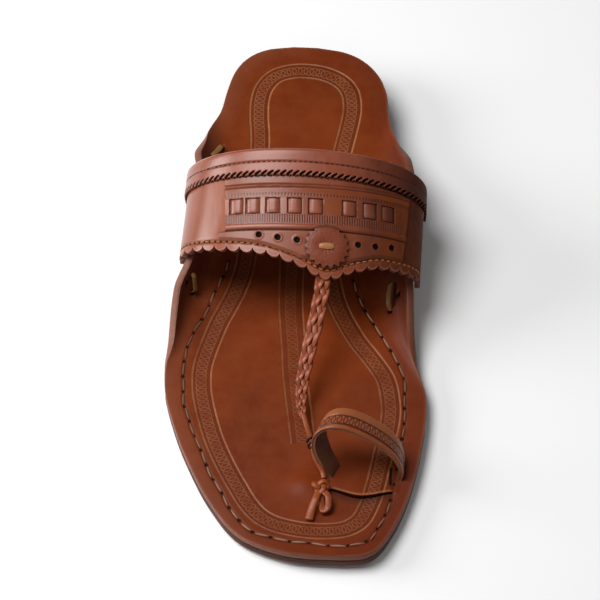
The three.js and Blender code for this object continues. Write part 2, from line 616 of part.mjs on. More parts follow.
// Each strand of the plait weaves from side to side, and over and under twice as often
function makeStrand(number) {
  const spine = curveOf(PLAIT);
  const shift = (number / STRAND.count) * 2 * Math.PI;
  const places = steps(STRAND.steps).map((t) => {
    const centre = spine.getPoint(t);
    const tangent = spine.getTangent(t);
    const wide = new THREE.Vector3(-tangent.y, tangent.x, 0).normalize();
    const up = new THREE.Vector3().crossVectors(tangent, wide).normalize();
    const turn = STRAND.waves * 2 * Math.PI * t + shift;
    return centre.addScaledVector(wide, Math.sin(turn) * plaitWide(t) * STRAND.swing)
      .addScaledVector(up, Math.sin(2 * turn) * plaitWide(t) * STRAND.rise);
  });
  return sweep(new THREE.CatmullRomCurve3(places), STRAND.steps, STRAND.sides,
    (t) => plaitWide(t) * STRAND.wide, (t) => plaitWide(t) * STRAND.thick);
}

const PLAIT_WIDTH = PLAIT.map((row, i) => ({ part: i / (PLAIT.length - 1), wide: row.wide }));
const plaitWide = (t) => follow(PLAIT_WIDTH, 'part', 'wide', t);

function makePlait() {
  const strands = Array.from({ length: STRAND.count }, (_, i) => solid(makeStrand(i)));
  const core = solid(sweep(curveOf(PLAIT), PLAIT_CORE.steps, PLAIT_CORE.sides,
    (t) => plaitWide(t) * PLAIT_CORE.wide, (t) => plaitWide(t) * PLAIT_CORE.thick));
  return join(core, ...strands);
}

function makeThong() {
  const radius = () => THONG_CORD.radius;
  return solid(sweep(curveOf(THONG), THONG_CORD.steps, THONG_CORD.sides, radius, radius));
}

// Strap of the toe loop from one part of its length to another, between its front and rear lips. Grow makes it
// larger all round, for the slots that its feet stand in.
function makeLoopStrap(start, end, count, grow) {
  const lip = new THREE.CatmullRomCurve3(TOE_LOOP.map((row) => new THREE.Vector3(row.x, row.up, 0)));
  const last = TOE_LOOP.length - 1;
  const rows = TOE_LOOP.map((row, i) => ({ ...row, part: i / last }));
  const section = steps(count).map((t) => {
    const place = THREE.MathUtils.lerp(start, end, t);
    const here = lip.getPoint(place);
    const ahead = lip.getTangent(place);
    return {
      x: here.x,
      up: here.y - (grow > 0 && (place === 0 || place === 1) ? TOP_LEATHER : 0),
      turn: THREE.MathUtils.degToRad(follow(rows, 'part', 'turn', place)),
      wide: follow(rows, 'part', 'wide', place),
      outward: new THREE.Vector2(-ahead.y, ahead.x).normalize(),
    };
  });
  const skin = (lift) => [0, 1].map((part) => section.map(({ x, up, turn, wide, outward }) => {
    const front = LOOP_FRONT + LOOP_LEAN * (up - TOE_LOOP[0].up) - grow;
    const across = (wide + 2 * grow) * part;
    return point(
      x + outward.x * lift + Math.sin(turn) * across,
      front + Math.cos(turn) * across,
      up + outward.y * lift,
    );
  }));
  return slab(skin(-grow), skin(LOOP_THICK + grow));
}

function makeUpper() {
  const straps = join(solid(makeBand()), makePlait(), makeThong(), solid(makeLoopStrap(0, 1, LOOP_STEPS, 0)));
  return surface(withoutPockets(straps));
}

function makeKnot() {
  const ball = new THREE.IcosahedronGeometry(KNOT.radius, 1);
  const centre = point(KNOT.x, KNOT.from, KNOT.up);
  ball.scale(KNOT.wide, 1, KNOT.tall).translate(centre.x, centre.y, centre.z);
  const tails = KNOT_TAILS.map((tail) => {
    const middleX = (KNOT.x + tail.x) / 2 + tail.bend;
    const middle = point(middleX, (KNOT.from + tail.from) / 2, KNOT.up + TAIL_CORD.hump);
    const route = new THREE.CatmullRomCurve3([centre, middle, point(tail.x, tail.from, tail.up)]);
    return solid(sweep(route, TAIL_CORD.steps, TAIL_CORD.sides,
      () => TAIL_CORD.halfWide, () => TAIL_CORD.halfThick));
  });
  return surface(join(solid(ball), ...tails));
}

// Strip of buff leather that lies on an ear's inner face
function makeEarLace(row) {
  const skin = (lift) => [-0.5, 0.5].map((edge) => steps(LACE.steps).map((t) => {
    const from = THREE.MathUtils.lerp(row.holeFrom, row.endFrom, t);
    const part = EAR_PART + (1 - EAR_PART) * THREE.MathUtils.lerp(row.holePart, row.endPart, t);
    const swell = 1 - LACE.endTaper * Math.abs(2 * t - 1);
    const shift = edge * LACE.widePart * swell;
    return topLeather(from, row.side * (part + shift), TOP_LEATHER + LACE.off + lift);
  }));
  const towardsHeel = row.endFrom > row.holeFrom;
  const flipped = (row.side < 0) !== towardsHeel;
  return flipped ? slab(skin(0).reverse(), skin(LACE.thick).reverse()) : slab(skin(0), skin(LACE.thick));
}

const sandal = new THREE.Group();

function add(name, geometry, material) {
  const mesh = new THREE.Mesh(geometry, material);
  mesh.name = name;
  sandal.add(mesh);
}

add('outsole', makeOutsole(), leather(EDGE, 0.75));
for (let number = 1; number <= LIFT_COUNT; number += 1) {
  add(`heel_lift_${number}`, makeLift(number), leather(EDGE, 0.75));
}
add('insole', makeInsole(), leather(SADDLE, 0.45));
add('upper', makeUpper(), leather(TAN, 0.4));
add('edge_binding', makeBinding(), leather(TAN, 0.4));
add('ornament_panel', makePanel(), leather(TAN, 0.42));
WINDOWS_AROUND.forEach((around, i) => add(`lace_square_${i + 1}`, makeLaceSquare(around), leather(TAN, 0.38)));
add('rosette', makeRosette(), leather(TAN, 0.45));
add('rosette_stitch', makeRosetteStitch(), leather(BUFF, 0.5));
add('knot', makeKnot(), leather(TAN, 0.45));
EAR_LACES.forEach((row, i) => add(`ear_lace_${i + 1}`, makeEarLace(row), leather(BUFF, 0.6)));

export default sandal;
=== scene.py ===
import math

import bpy
import numpy as np
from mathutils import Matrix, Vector


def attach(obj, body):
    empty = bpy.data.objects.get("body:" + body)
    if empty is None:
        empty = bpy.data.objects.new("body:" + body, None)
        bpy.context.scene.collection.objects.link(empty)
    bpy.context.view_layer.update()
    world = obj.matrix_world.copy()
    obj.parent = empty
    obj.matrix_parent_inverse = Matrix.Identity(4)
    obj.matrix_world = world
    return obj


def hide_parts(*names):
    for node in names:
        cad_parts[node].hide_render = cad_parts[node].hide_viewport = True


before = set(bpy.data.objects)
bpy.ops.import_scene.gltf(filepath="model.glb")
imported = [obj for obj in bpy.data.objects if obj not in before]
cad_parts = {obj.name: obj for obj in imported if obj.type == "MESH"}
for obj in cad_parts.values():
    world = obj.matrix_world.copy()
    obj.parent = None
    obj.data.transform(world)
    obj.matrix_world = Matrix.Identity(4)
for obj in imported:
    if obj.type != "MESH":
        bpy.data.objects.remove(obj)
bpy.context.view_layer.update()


# Outsole. One layer of thick vegetable-tanned hide, cut to the plan of the foot and bent up over the shank.
# Its edge is cut square, waxed and rubbed, and it is glued and hand-stitched under the top leather.
MM = 0.001
LENGTH = 280.0
TOP_LEATHER = 3.0
SOLE_LEATHER = 4.2
GAP = 0.3
SOLE_TOP_FORE = 7.5
SOLE_TOP_HEEL = 19.0
SHANK = (130.0, 212.0)
TOE_SPRING = 1.8
TOE_SPRING_LENGTH = 30.0


def columns(names, *rows):
    """A table with named columns."""
    return dict(zip(names.split(), np.array(rows, float).T))


# Edges of the top leather, the lines where its ears turn up, how far they rise, and the outsole's edges
PLAN = columns(
    "at rim_l rim_m fold_l fold_m rise sole_l sole_m",
    (0, 10, 24, 12, 22, 0, 10, 24),
    (0.8, 2.2, 31.6, 5, 28, 0, 2.2, 31.6),
    (2.5, -4.4, 35.7, -1, 32, 0, -4.4, 35.7),
    (5, -11.2, 38.7, -7, 35, 0, -11.2, 38.7),
    (9, -18.4, 41.5, -14, 38, 0, -18.4, 41.5),
    (15.5, -25, 44.6, -21, 41, 0, -25, 44.6),
    (22, -29.6, 47.3, -26, 43, 0, -29.6, 47.3),
    (34, -36.8, 51, -33, 47, 0, -36.8, 51),
    (47, -43, 53.9, -39, 49, 0, -43, 53.9),
    (60, -48.4, 55.8, -44, 51, 0, -48.4, 55.8),
    (73, -52.7, 57, -48, 52, 0, -52.7, 57),
    (80, -54.7, 57.3, -49.6, 52, 0, -54.7, 57.3),
    (88, -56.2, 57, -51, 51, 0, -56.2, 57),
    (102, -57.3, 53.8, -51, 47, 1, -56.2, 52.4),
    (112, -56.6, 51.9, -48.5, 43, 4, -53, 47.6),
    (122, -56.3, 50.7, -45, 38, 8.5, -49.2, 42),
    (134, -55.4, 50, -41, 32.5, 14, -44.5, 36),
    (148, -50.2, 49, -37, 27, 20, -39.5, 30.5),
    (162, -48.3, 48.6, -34.5, 25.5, 23, -36.5, 28),
    (176, -47.8, 48.4, -33, 25, 23, -34.6, 26.5),
    (190, -48.6, 48.2, -32, 25.2, 20, -34, 26.5),
    (203, -50.4, 46.6, -32, 26.5, 15, -34.5, 28),
    (212, -49.2, 44.2, -33, 28, 9.5, -36, 30),
    (220, -47.2, 41, -35, 30, 5, -38, 32.3),
    (230, -44, 37, -37, 32, 1.4, -40, 34.2),
    (240, -40.6, 35, -37, 32, 0, -40, 34.6),
    (251, -38.8, 34, -35, 31, 0, -38.8, 34),
    (261, -36.6, 31.1, -33, 28, 0, -36.6, 31.1),
    (268, -33.6, 27, -30, 24, 0, -33.6, 27),
    (274, -28.4, 20.8, -25, 18, 0, -28.4, 20.8),
    (278, -21, 12.6, -18, 10, 0, -21, 12.6),
    (280, -10, 1, -8, -1, 0, -10, 1),
)


def follow(table, column, at):
    """A column of a table at places along its first column, on a smooth curve through every row."""
    key, value = next(iter(table.values())), table[column]
    at = np.clip(at, key[0], key[-1])
    slope = np.diff(value) / np.diff(key)
    before, after = slope[:-1], slope[1:]
    same_way = before * after > 0
    inner = np.where(same_way, 2 * before * after / np.where(same_way, before + after, 1), 0)
    tangent = np.concatenate([slope[:1], inner, slope[-1:]])
    row = np.clip(np.searchsorted(key, at) - 1, 0, len(key) - 2)
    span = key[row + 1] - key[row]
    t = (at - key[row]) / span
    return (value[row] * (2 * t**3 - 3 * t**2 + 1) + tangent[row] * span * (t**3 - 2 * t**2 + t)
            + value[row + 1] * (3 * t**2 - 2 * t**3) + tangent[row + 1] * span * (t**3 - t**2))


def smooth(t):
    """0 below 0, 1 above 1, with a soft step between."""
    t = np.clip(t, 0, 1)
    return t * t * (3 - 2 * t)


def foot_bed(at):
    """Height of the foot bed, at a distance from the toe tip."""
    spring = TOE_SPRING * (np.maximum(0, TOE_SPRING_LENGTH - at) / TOE_SPRING_LENGTH) ** 2
    ramp = smooth((at - SHANK[0]) / (SHANK[1] - SHANK[0]))
    return SOLE_TOP_FORE + (SOLE_TOP_HEEL - SOLE_TOP_FORE) * ramp + spring


def spot(x, at, up):
    """Points from their place across, their distance from the toe tip and their height."""
    return np.stack(np.broadcast_arrays(x, np.asarray(at) - LENGTH / 2, up), axis=-1).astype(float)


def unit(vectors):
    return vectors / np.maximum(np.linalg.norm(vectors, axis=-1, keepdims=True), 1e-9)


def bunched(count, squeeze):
    """Places from 0 to 1, closer together towards both ends."""
    t = np.linspace(0, 1, count)
    return t - squeeze * np.sin(2 * math.pi * t) / (2 * math.pi)


def mesh_piece(name, points, faces, materials, face_material=None, sharp=42):
    """Object from points in mm, with smooth faces and its sharp edges kept."""
    mesh = bpy.data.meshes.new(name)
    places = (np.asarray(points).reshape(-1, 3) * MM).tolist()
    mesh.from_pydata(places, [], [list(map(int, face)) for face in faces])
    for material in materials:
        mesh.materials.append(material)
    if face_material is not None:
        mesh.polygons.foreach_set("material_index", np.asarray(face_material, np.int32))
    mesh.polygons.foreach_set("use_smooth", np.ones(len(mesh.polygons), bool))
    mesh.update()
    mesh.set_sharp_from_angle(angle=math.radians(sharp))
    piece = bpy.data.objects.new(name, mesh)
    bpy.context.scene.collection.objects.link(piece)
    return piece


def stacked_rings(at, left, right, low, high, profile):
    """Points and faces of a sole layer: rings round its plan, closed below and above. Each row of the profile
    says how far out a ring lies, and at what part of the layer's height."""
    ends = np.stack([np.stack([left, at], -1), np.stack([right, at], -1)])
    heading = unit(np.gradient(ends, axis=1))
    outward = np.stack([heading[..., 1], -heading[..., 0]], -1) * np.array([-1, 1])[:, None, None]
    rings = []
    for out, part in profile:
        edge = ends + outward * out
        up = low + (high - low) * part
        loop = [np.column_stack([edge[0, :, 0], edge[0, :, 1] - LENGTH / 2, up]),
                np.column_stack([edge[1, :, 0], edge[1, :, 1] - LENGTH / 2, up])[::-1]]
        rings.append(np.concatenate(loop))
    n, size = len(at), 2 * len(at)
    faces = []
    for k in range(len(rings) - 1):
        a = np.arange(size)
        b = (a + 1) % size
        faces.append(np.column_stack([a, a + size, b + size, b]) + k * size)
    i = np.arange(n - 1)
    top = (len(rings) - 1) * size
    faces.append(np.column_stack([i, size - 1 - i, size - 2 - i, i + 1]) + top)
    faces.append(np.column_stack([i + 1, size - 2 - i, size - 1 - i, i]))
    return np.concatenate(rings), np.concatenate(faces)


def tone(code):
    """A colour from its six-digit code, as light values."""
    parts = [int(code[i:i + 2], 16) / 255 for i in (1, 3, 5)]
    return (*[p / 12.92 if p <= 0.04045 else ((p + 0.055) / 1.055) ** 2.4 for p in parts], 1.0)


class Value:
    """A number that varies over a surface: the output of a shader node, which goes on into sums."""

    def __init__(self, tree, socket):
        self.tree, self.socket = tree, socket

    def sum(self, operation, *others, clamp=False):
        node = self.tree.nodes.new("ShaderNodeMath")
        node.operation, node.use_clamp = operation, clamp
        for socket, value in zip(node.inputs, (self, *others)):
            if isinstance(value, Value):
                self.tree.links.new(value.socket, socket)
            else:
                socket.default_value = value
        return Value(self.tree, node.outputs[0])

    def __add__(self, other):
        return self.sum("ADD", other)

    def __sub__(self, other):
        return self.sum("SUBTRACT", other)

    def __mul__(self, other):
        return self.sum("MULTIPLY", other)

    def __abs__(self):
        return self.sum("ABSOLUTE")

    def below(self, limit, soft):
        """1 where the value is under a limit and 0 over it, with a soft step."""
        return self.sum("MULTIPLY_ADD", -1 / soft, limit / soft + 0.5, clamp=True)

    def above(self, limit, soft):
        return self.sum("MULTIPLY_ADD", 1 / soft, 0.5 - limit / soft, clamp=True)

    def rest(self):
        """What is left of 1."""
        return self.sum("MULTIPLY_ADD", -1, 1)

    def hypot(self, other):
        """Distance over two numbers at right angles."""
        return (self * self + other * other).sum("SQRT")

    def from_nearest(self, pitch):
        """Distance from the nearest whole number of pitches."""
        return abs(abs(self.sum("FLOORED_MODULO", pitch) - pitch / 2) - pitch / 2)


def new_group(name, inputs, outputs):
    """Shader node group with named number inputs and outputs, and a position."""
    tree = bpy.data.node_groups.new(name, "ShaderNodeTree")
    for label, kind in inputs:
        tree.interface.new_socket(label, in_out="INPUT", socket_type=f"NodeSocket{kind}")
    for label, kind in outputs:
        tree.interface.new_socket(label, in_out="OUTPUT", socket_type=f"NodeSocket{kind}")
    return tree, tree.nodes.new("NodeGroupInput"), tree.nodes.new("NodeGroupOutput")


def noise(tree, vector, scale, detail=3.0, rough=0.55, stretch=None):
    """Noise over a position, with a scale in cells a metre."""
    if stretch:
        node = tree.nodes.new("ShaderNodeVectorMath")
        node.operation = "MULTIPLY"
        node.inputs[1].default_value = stretch
        tree.links.new(vector, node.inputs[0])
        vector = node.outputs[0]
    node = tree.nodes.new("ShaderNodeTexNoise")
    node.inputs["Scale"].default_value = scale
    node.inputs["Detail"].default_value = detail
    node.inputs["Roughness"].default_value = rough
    tree.links.new(vector, node.inputs["Vector"])
    return Value(tree, node.outputs["Fac"])


# Grain that every leather shares: pores and creases for the relief, slow and fine changes of tone, and scuffs
grain_group, grain_in, grain_out = new_group(
    "leather_grain", [("Position", "Vector"), ("Pores per m", "Float")],
    [("Relief", "Float"), ("Drift", "Float"), ("Mottle", "Float"), ("Scuffs", "Float")])
pores = grain_group.nodes.new("ShaderNodeTexVoronoi")
pores.feature = "DISTANCE_TO_EDGE"
grain_group.links.new(grain_in.outputs["Position"], pores.inputs["Vector"])
grain_group.links.new(grain_in.outputs["Pores per m"], pores.inputs["Scale"])
pore_relief = Value(grain_group, pores.outputs["Distance"]).below(0.12, 0.3)
skin_creases = noise(grain_group, grain_in.outputs["Position"], 420, 5, 0.65)
grain_values = {
    "Relief": skin_creases * 0.9 - pore_relief * 0.55,
    "Drift": noise(grain_group, grain_in.outputs["Position"], 17, 3).above(0.5, 0.42),
    "Mottle": noise(grain_group, grain_in.outputs["Position"], 130, 6, 0.62).above(0.5, 0.5),
    "Scuffs": noise(grain_group, grain_in.outputs["Position"], 260, 4, 0.6, (1, 0.18, 1)).above(0.68, 0.06),
}
for label, value in grain_values.items():
    grain_group.links.new(value.socket, grain_out.inputs[label])


class Leather:
    """A leather finish. Marks are painted, pressed and rubbed into it in turn, and then it is closed."""

    def __init__(self, name, base, dark, light, roughness, coat, pores=900.0, depth=0.07):
        self.material = bpy.data.materials.new(name)
        self.material.use_nodes = True
        self.tree = self.material.node_tree
        self.shader = self.tree.nodes["Principled BSDF"]
        self.shader.inputs["Coat Weight"].default_value = coat
        self.shader.inputs["Coat Roughness"].default_value = 0.28
        self.shader.inputs["Specular IOR Level"].default_value = 0.2
        self.coat = coat
        self.position = self.tree.nodes.new("ShaderNodeTexCoord").outputs["Object"]
        grain = self.tree.nodes.new("ShaderNodeGroup")
        grain.node_tree = grain_group
        grain.inputs["Pores per m"].default_value = pores
        self.tree.links.new(self.position, grain.inputs["Position"])
        self.grain = {label: Value(self.tree, grain.outputs[label]) for label in grain_values}
        start = self.tree.nodes.new("ShaderNodeMix")
        start.data_type = "RGBA"
        start.inputs["A"].default_value = tone(dark)
        start.inputs["B"].default_value = tone(base)
        self.tree.links.new(self.grain["Drift"].socket, start.inputs["Factor"])
        self.colour = start.outputs["Result"]
        self.roughness = self.grain["Mottle"] * 0.16 + (roughness - 0.08)
        self.height = self.grain["Relief"] * (depth * MM)
        self.paint(self.grain["Mottle"] * 0.3, light)
        self.paint(self.grain["Scuffs"] * 0.22, light)

    def number(self, name, part=None):
        """A number stored on the mesh, or one part of a stored vector."""
        node = self.tree.nodes.new("ShaderNodeAttribute")
        node.attribute_name = name
        if part is None:
            return Value(self.tree, node.outputs["Fac"])
        split = self.tree.nodes.new("ShaderNodeSeparateXYZ")
        self.tree.links.new(node.outputs["Vector"], split.inputs[0])
        return Value(self.tree, split.outputs[part])

    def paint(self, mask, colour):
        node = self.tree.nodes.new("ShaderNodeMix")
        node.data_type = "RGBA"
        node.inputs["B"].default_value = tone(colour)
        self.tree.links.new(self.colour, node.inputs["A"])
        self.tree.links.new(mask.socket, node.inputs["Factor"])
        self.colour = node.outputs["Result"]

    def press(self, mask, depth):
        self.height = self.height - mask * (depth * MM)

    def rub(self, mask, change):
        self.roughness = self.roughness + mask * change

    def sideways(self):
        """Place across the shoe in metres, from the little-toe side to the big-toe side."""
        split = self.tree.nodes.new("ShaderNodeSeparateXYZ")
        self.tree.links.new(self.position, split.inputs[0])
        return Value(self.tree, split.outputs["X"])

    def paint_hole_shade(self, mask, depth):
        """Makes a place black, deep and dull: painted shade, as in a hole, slot or notch."""
        self.paint(mask, "#0c0503")
        self.press(mask, depth)
        self.rub(mask, 0.5)
        self.coat = mask.rest() * self.coat

    def close(self):
        if isinstance(self.coat, Value):
            self.tree.links.new(self.coat.socket, self.shader.inputs["Coat Weight"])
        bump = self.tree.nodes.new("ShaderNodeBump")
        bump.inputs["Distance"].default_value = 1.0
        bump.inputs["Strength"].default_value = 0.9
        self.tree.links.new(self.height.socket, bump.inputs["Height"])
        self.tree.links.new(bump.outputs["Normal"], self.shader.inputs["Normal"])
        self.tree.links.new(self.colour, self.shader.inputs["Base Color"])
        self.tree.links.new(self.roughness.socket, self.shader.inputs["Roughness"])
        return self.material


def layered_edge(name, base, dark, light):
    """Cut edge of thick hide: fibres in thin level layers, waxed, and darker where dirt has settled."""
    leather = Leather(name, base, dark, light, 0.62, 0.08, 700, 0.05)
    layers = noise(leather.tree, leather.position, 300, 5, 0.7, (0.16, 0.16, 4.2))
    leather.paint(layers.above(0.56, 0.1) * 0.5, dark)
    leather.paint(layers.below(0.42, 0.1) * 0.4, light)
    leather.press(layers.above(0.54, 0.14), 0.16)
    return leather.close()


sole_edge = layered_edge("sole_edge", "#5e3626", "#3a2018", "#7c4d3a")
EDGE_PROFILE = ((-0.9, 0), (-0.35, 0.05), (-0.05, 0.16), (0.12, 0.5), (-0.05, 0.84), (-0.35, 0.95), (-0.9, 1))
sole_at = LENGTH * bunched(260, 0.9)
sole_high = foot_bed(sole_at) - TOP_LEATHER - GAP
outsole = mesh_piece(
    "outsole_hide",
    *stacked_rings(sole_at, follow(PLAN, "sole_l", sole_at), follow(PLAN, "sole_m", sole_at),
                   sole_high - SOLE_LEATHER, sole_high, EDGE_PROFILE),
    [sole_edge])
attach(outsole, "root")
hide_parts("outsole")


# Heel. Three lifts of the same hide, stacked under the outsole behind the breast, each a little smaller than
# the one above. They are glued and pegged, and the lowest one is scuffed grey where it meets the floor.
HEEL_BREAST = 214.0
HEEL_BREAST_HOLLOW = 4.0
HEEL_BREAST_REACH = 12.0
LIFT_COUNT = 3
LIFT_TAPER = 0.7
LIFT_HEIGHT = (SOLE_TOP_HEEL - TOP_LEATHER - SOLE_LEATHER - GAP * (LIFT_COUNT + 1)) / LIFT_COUNT
LIFT_ROWS = 110
LIFT_TONES = (
    ("#4b372f", "#33251f", "#6d5547"),
    ("#56392d", "#38261e", "#74513f"),
    ("#5d3f32", "#3f2a21", "#7b5847"),
)


def breast_rows(points, wide):
    """Bends the front of a lift back in the middle, as a heel breast is cut."""
    near = smooth(1 - (points[:, 1] + LENGTH / 2 - HEEL_BREAST) / HEEL_BREAST_REACH)
    across = np.clip((points[:, 0] - wide[0]) / (wide[1] - wide[0]), 0, 1)
    points[:, 1] += HEEL_BREAST_HOLLOW * near * np.sin(math.pi * across)
    return points


for number in range(1, LIFT_COUNT + 1):
    shrink = LIFT_TAPER * (LIFT_COUNT - number)
    lift_at = HEEL_BREAST + (LENGTH - shrink - HEEL_BREAST) * (1 - (1 - np.linspace(0, 1, LIFT_ROWS)) ** 2.2)
    lift_left = follow(PLAN, "sole_l", lift_at + shrink) + shrink
    lift_right = follow(PLAN, "sole_m", lift_at + shrink) - shrink
    low = (number - 1) * (LIFT_HEIGHT + GAP)
    points, faces = stacked_rings(lift_at, lift_left, lift_right, np.full(LIFT_ROWS, low),
                                  np.full(LIFT_ROWS, low + LIFT_HEIGHT), EDGE_PROFILE)
    points = breast_rows(points, (lift_left[0], lift_right[0]))
    lift = mesh_piece(f"heel_lift_{number}_hide", points, faces,
                      [layered_edge(f"lift_edge_{number}", *LIFT_TONES[number - 1])])
    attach(lift, "root")
    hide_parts(f"heel_lift_{number}")


# Top leather. A 3 mm saddle-brown hide with a waxed face. A brass roller has stamped a border of linked rings
# between two lines, and a strip of the same up the middle. The ears at the waist are wetted and turned up.
# A slit in front of the toe loop leaves a raised lip.
EAR_PART = 0.5
SLIT = columns("x at", (18.4, 35.8), (31, 32.2), (43.4, 35.4))
SLIT_ROW = 34.5
SLIT_HALF = 0.36
SLIT_ROWS = (-1.2, -0.7, -SLIT_HALF - 0.02, -SLIT_HALF + 0.02, SLIT_HALF - 0.02, SLIT_HALF + 0.02, 0.8)
SLIT_DEEP = 2.6
FOOT_SLOT_SHADE = {"x": 43.3, "half_wide": 0.7, "start": 39.0, "end": 49.0}
LIP = {"raise": 1.5, "reach": 9.0}
SWELL = {"x": 6.5, "at": 38.5, "radius": 5.5, "raise": 1.2}
EAR_HOLES = (
    (-1, 140, 0.75), (1, 135, 0.67), (-1, 217, 0.65), (1, 208, 0.75), (-1, 141.2, 0.9), (1, 140.8, 0.81))
EAR_HOLE = {"radius": 1.6, "deep": 1.6}


def top_leather_under(at, part):
    """Underside of the top leather: part is -1 at the lateral rim, 1 at the medial rim, and the ears are the
    outer halves."""
    at, part = np.broadcast_arrays(np.asarray(at, float), np.asarray(part, float))
    bed = foot_bed(at) - TOP_LEATHER
    fold_l, fold_m = follow(PLAN, "fold_l", at), follow(PLAN, "fold_m", at)
    middle = np.clip((part / EAR_PART + 1) / 2, 0, 1)
    fold = fold_l + (fold_m - fold_l) * middle
    rim = np.where(part < 0, follow(PLAN, "rim_l", at), follow(PLAN, "rim_m", at))
    reach = rim - fold
    rise = follow(PLAN, "rise", at)
    bend = 0.5 + 0.42 * np.minimum(1, rise / np.maximum(np.abs(reach), 0.01))
    t = np.clip((np.abs(part) - EAR_PART) / (1 - EAR_PART), 0, 1)
    return spot(fold + reach * (2 * bend * t * (1 - t) + t * t), at, bed + rise * t * t)


def top_leather_up(at, part):
    """Direction out of the top leather's face."""
    inner = np.clip(part, -0.996, 0.996)
    inside = np.clip(at, 1, LENGTH - 1)
    across = top_leather_under(inside, inner + 0.004) - top_leather_under(inside, inner - 0.004)
    along = top_leather_under(inside + 0.2, inner) - top_leather_under(inside - 0.2, inner)
    flat = 1 - smooth((np.minimum(at, LENGTH - at) - 50) / 20)[..., None]
    return unit(unit(np.cross(across, along)) * (1 - flat) + np.array([0, 0, 1.0]) * flat)


def top_leather(at, part, lift):
    return top_leather_under(at, part) + top_leather_up(at, part) * np.asarray(lift)[..., None]


def through(points, count, closed=False):
    """Points, evenly spaced in rows, on a smooth curve through a few points."""
    points = np.asarray(points, float)
    if closed:
        around = np.concatenate([points[-1:], points, points[:2]])
    else:
        around = np.concatenate([2 * points[:1] - points[1:2], points, 2 * points[-1:] - points[-2:-1]])
    spans = len(around) - 3
    place = np.linspace(0, spans, count)
    row = np.clip(place.astype(int), 0, spans - 1)
    t = (place - row)[:, None]
    a, b, c, d = (around[row + k] for k in range(4))
    return 0.5 * (2 * b + (c - a) * t + (2 * a - 5 * b + 4 * c - d) * t**2 + (3 * b - a - 3 * c + d) * t**3)


def run_along(path):
    """Distance along a path at each of its points."""
    return np.concatenate([[0], np.cumsum(np.linalg.norm(np.diff(path, axis=0), axis=1))])


STEPS_A_SPAN = 24


def round_path(points, spacing, closed=False):
    """Evenly spaced points on a smooth curve through some points."""
    spans = len(points) if closed else len(points) - 1
    curve = through(points, STEPS_A_SPAN * spans + 1, closed)
    run = run_along(curve)
    even = np.linspace(0, run[-1], max(2, round(run[-1] / spacing)) + 1)
    return np.column_stack([np.interp(even, run, curve[:, i]) for i in range(curve.shape[1])])


FAR_OFF = 99.0
RUN_ON = 4.0
BATCH = 4000


def beside(path, places):
    """For flat points: how far along a path their nearest place is, and how far to the right of it they lie.
    Past an end the path runs on straight a little, and beyond that they count as far off."""
    step = np.diff(path, axis=0)
    size = np.linalg.norm(step, axis=1)
    run = run_along(path)
    out = np.zeros((len(places), 3))
    for start in range(0, len(places), BATCH):
        some = places[start:start + BATCH, None, :] - path[None, :-1, :]
        t = (some * step).sum(-1) / size**2
        inside = np.clip(t, 0, 1)
        away = np.linalg.norm(some - inside[..., None] * step, axis=-1)
        best = away.argmin(1)
        rows = np.arange(len(best))
        share = t[rows, best]
        free = ((best == 0) & (share < 0)) | ((best == len(size) - 1) & (share > 1))
        share = np.where(free, share, np.clip(share, 0, 1))
        off = some[rows, best] - np.clip(share, 0, 1)[:, None] * step[best]
        side = np.sign(step[best, 1] * off[:, 0] - step[best, 0] * off[:, 1])
        straight = (step[best, 1] * some[rows, best, 0] - step[best, 0] * some[rows, best, 1]) / size[best]
        straight = np.where(np.abs(share) * size[best] > RUN_ON, FAR_OFF, straight)
        out[start:start + BATCH, 0] = run[best] + share * size[best]
        out[start:start + BATCH, 1] = np.where(free, straight, side * away[rows, best])
    return out


def sheet(name, over, under, crown, materials):
    """Closed sheet of leather between two grids of points, whose cut edge bulges a little. Its materials are
    those of the face, the cut edge and the back."""
    rows, count = over.shape[:2]
    index = np.arange(rows * count).reshape(rows, count)
    loop = np.concatenate([index[0, :], index[1:, -1], index[-1, -2::-1], index[-2:0:-1, 0]])
    face, back = over.reshape(-1, 3), under.reshape(-1, 3)
    heading = unit(np.roll(face[loop], -1, 0) - np.roll(face[loop], 1, 0))
    outward = unit(np.cross(heading, unit(face[loop] - back[loop])))
    rings = [face[loop] + (back[loop] - face[loop]) * part + outward * crown * bulge
             for part, bulge in ((0.12, 0.7), (0.5, 1.0), (0.88, 0.7))]
    points = np.concatenate([face, back, *rings])
    size = rows * count
    quads = np.stack([index[:-1, :-1], index[:-1, 1:], index[1:, 1:], index[1:, :-1]], -1).reshape(-1, 4)
    ring_index = [loop, *[2 * size + k * len(loop) + np.arange(len(loop)) for k in range(3)], loop + size]
    walls = np.concatenate([np.column_stack([a, b, np.roll(b, -1), np.roll(a, -1)])
                            for a, b in zip(ring_index, ring_index[1:])])
    faces = np.concatenate([quads, quads[:, ::-1] + size, walls])
    kinds = np.repeat([0, 2, 1], [len(quads), len(quads), len(walls)])
    return mesh_piece(name, points, faces, materials, kinds)


def store(piece, name, values):
    """Keeps a number or a vector for each vertex of a piece."""
    values = np.asarray(values, np.float32)
    kind = "FLOAT" if values.ndim == 1 else "FLOAT_VECTOR"
    attribute = piece.data.attributes.new(name, kind, "POINT")
    attribute.data.foreach_set("value" if values.ndim == 1 else "vector", values.ravel())


def store_on_face(piece, name, values, elsewhere=0.0):
    """Keeps a number or a vector for each point of a sheet's face, and one value for all its other points."""
    values = np.asarray(values, float)
    flat = values.reshape(-1, 3) if values.ndim == 3 else values.ravel()
    others = np.full((len(piece.data.vertices) - len(flat), *flat.shape[1:]), elsewhere)
    store(piece, name, np.concatenate([flat, others]))


def in_pairs(first, second):
    """Two numbers for each point, as the first parts of a vector."""
    return np.stack(np.broadcast_arrays(first, second, 0.0), -1)


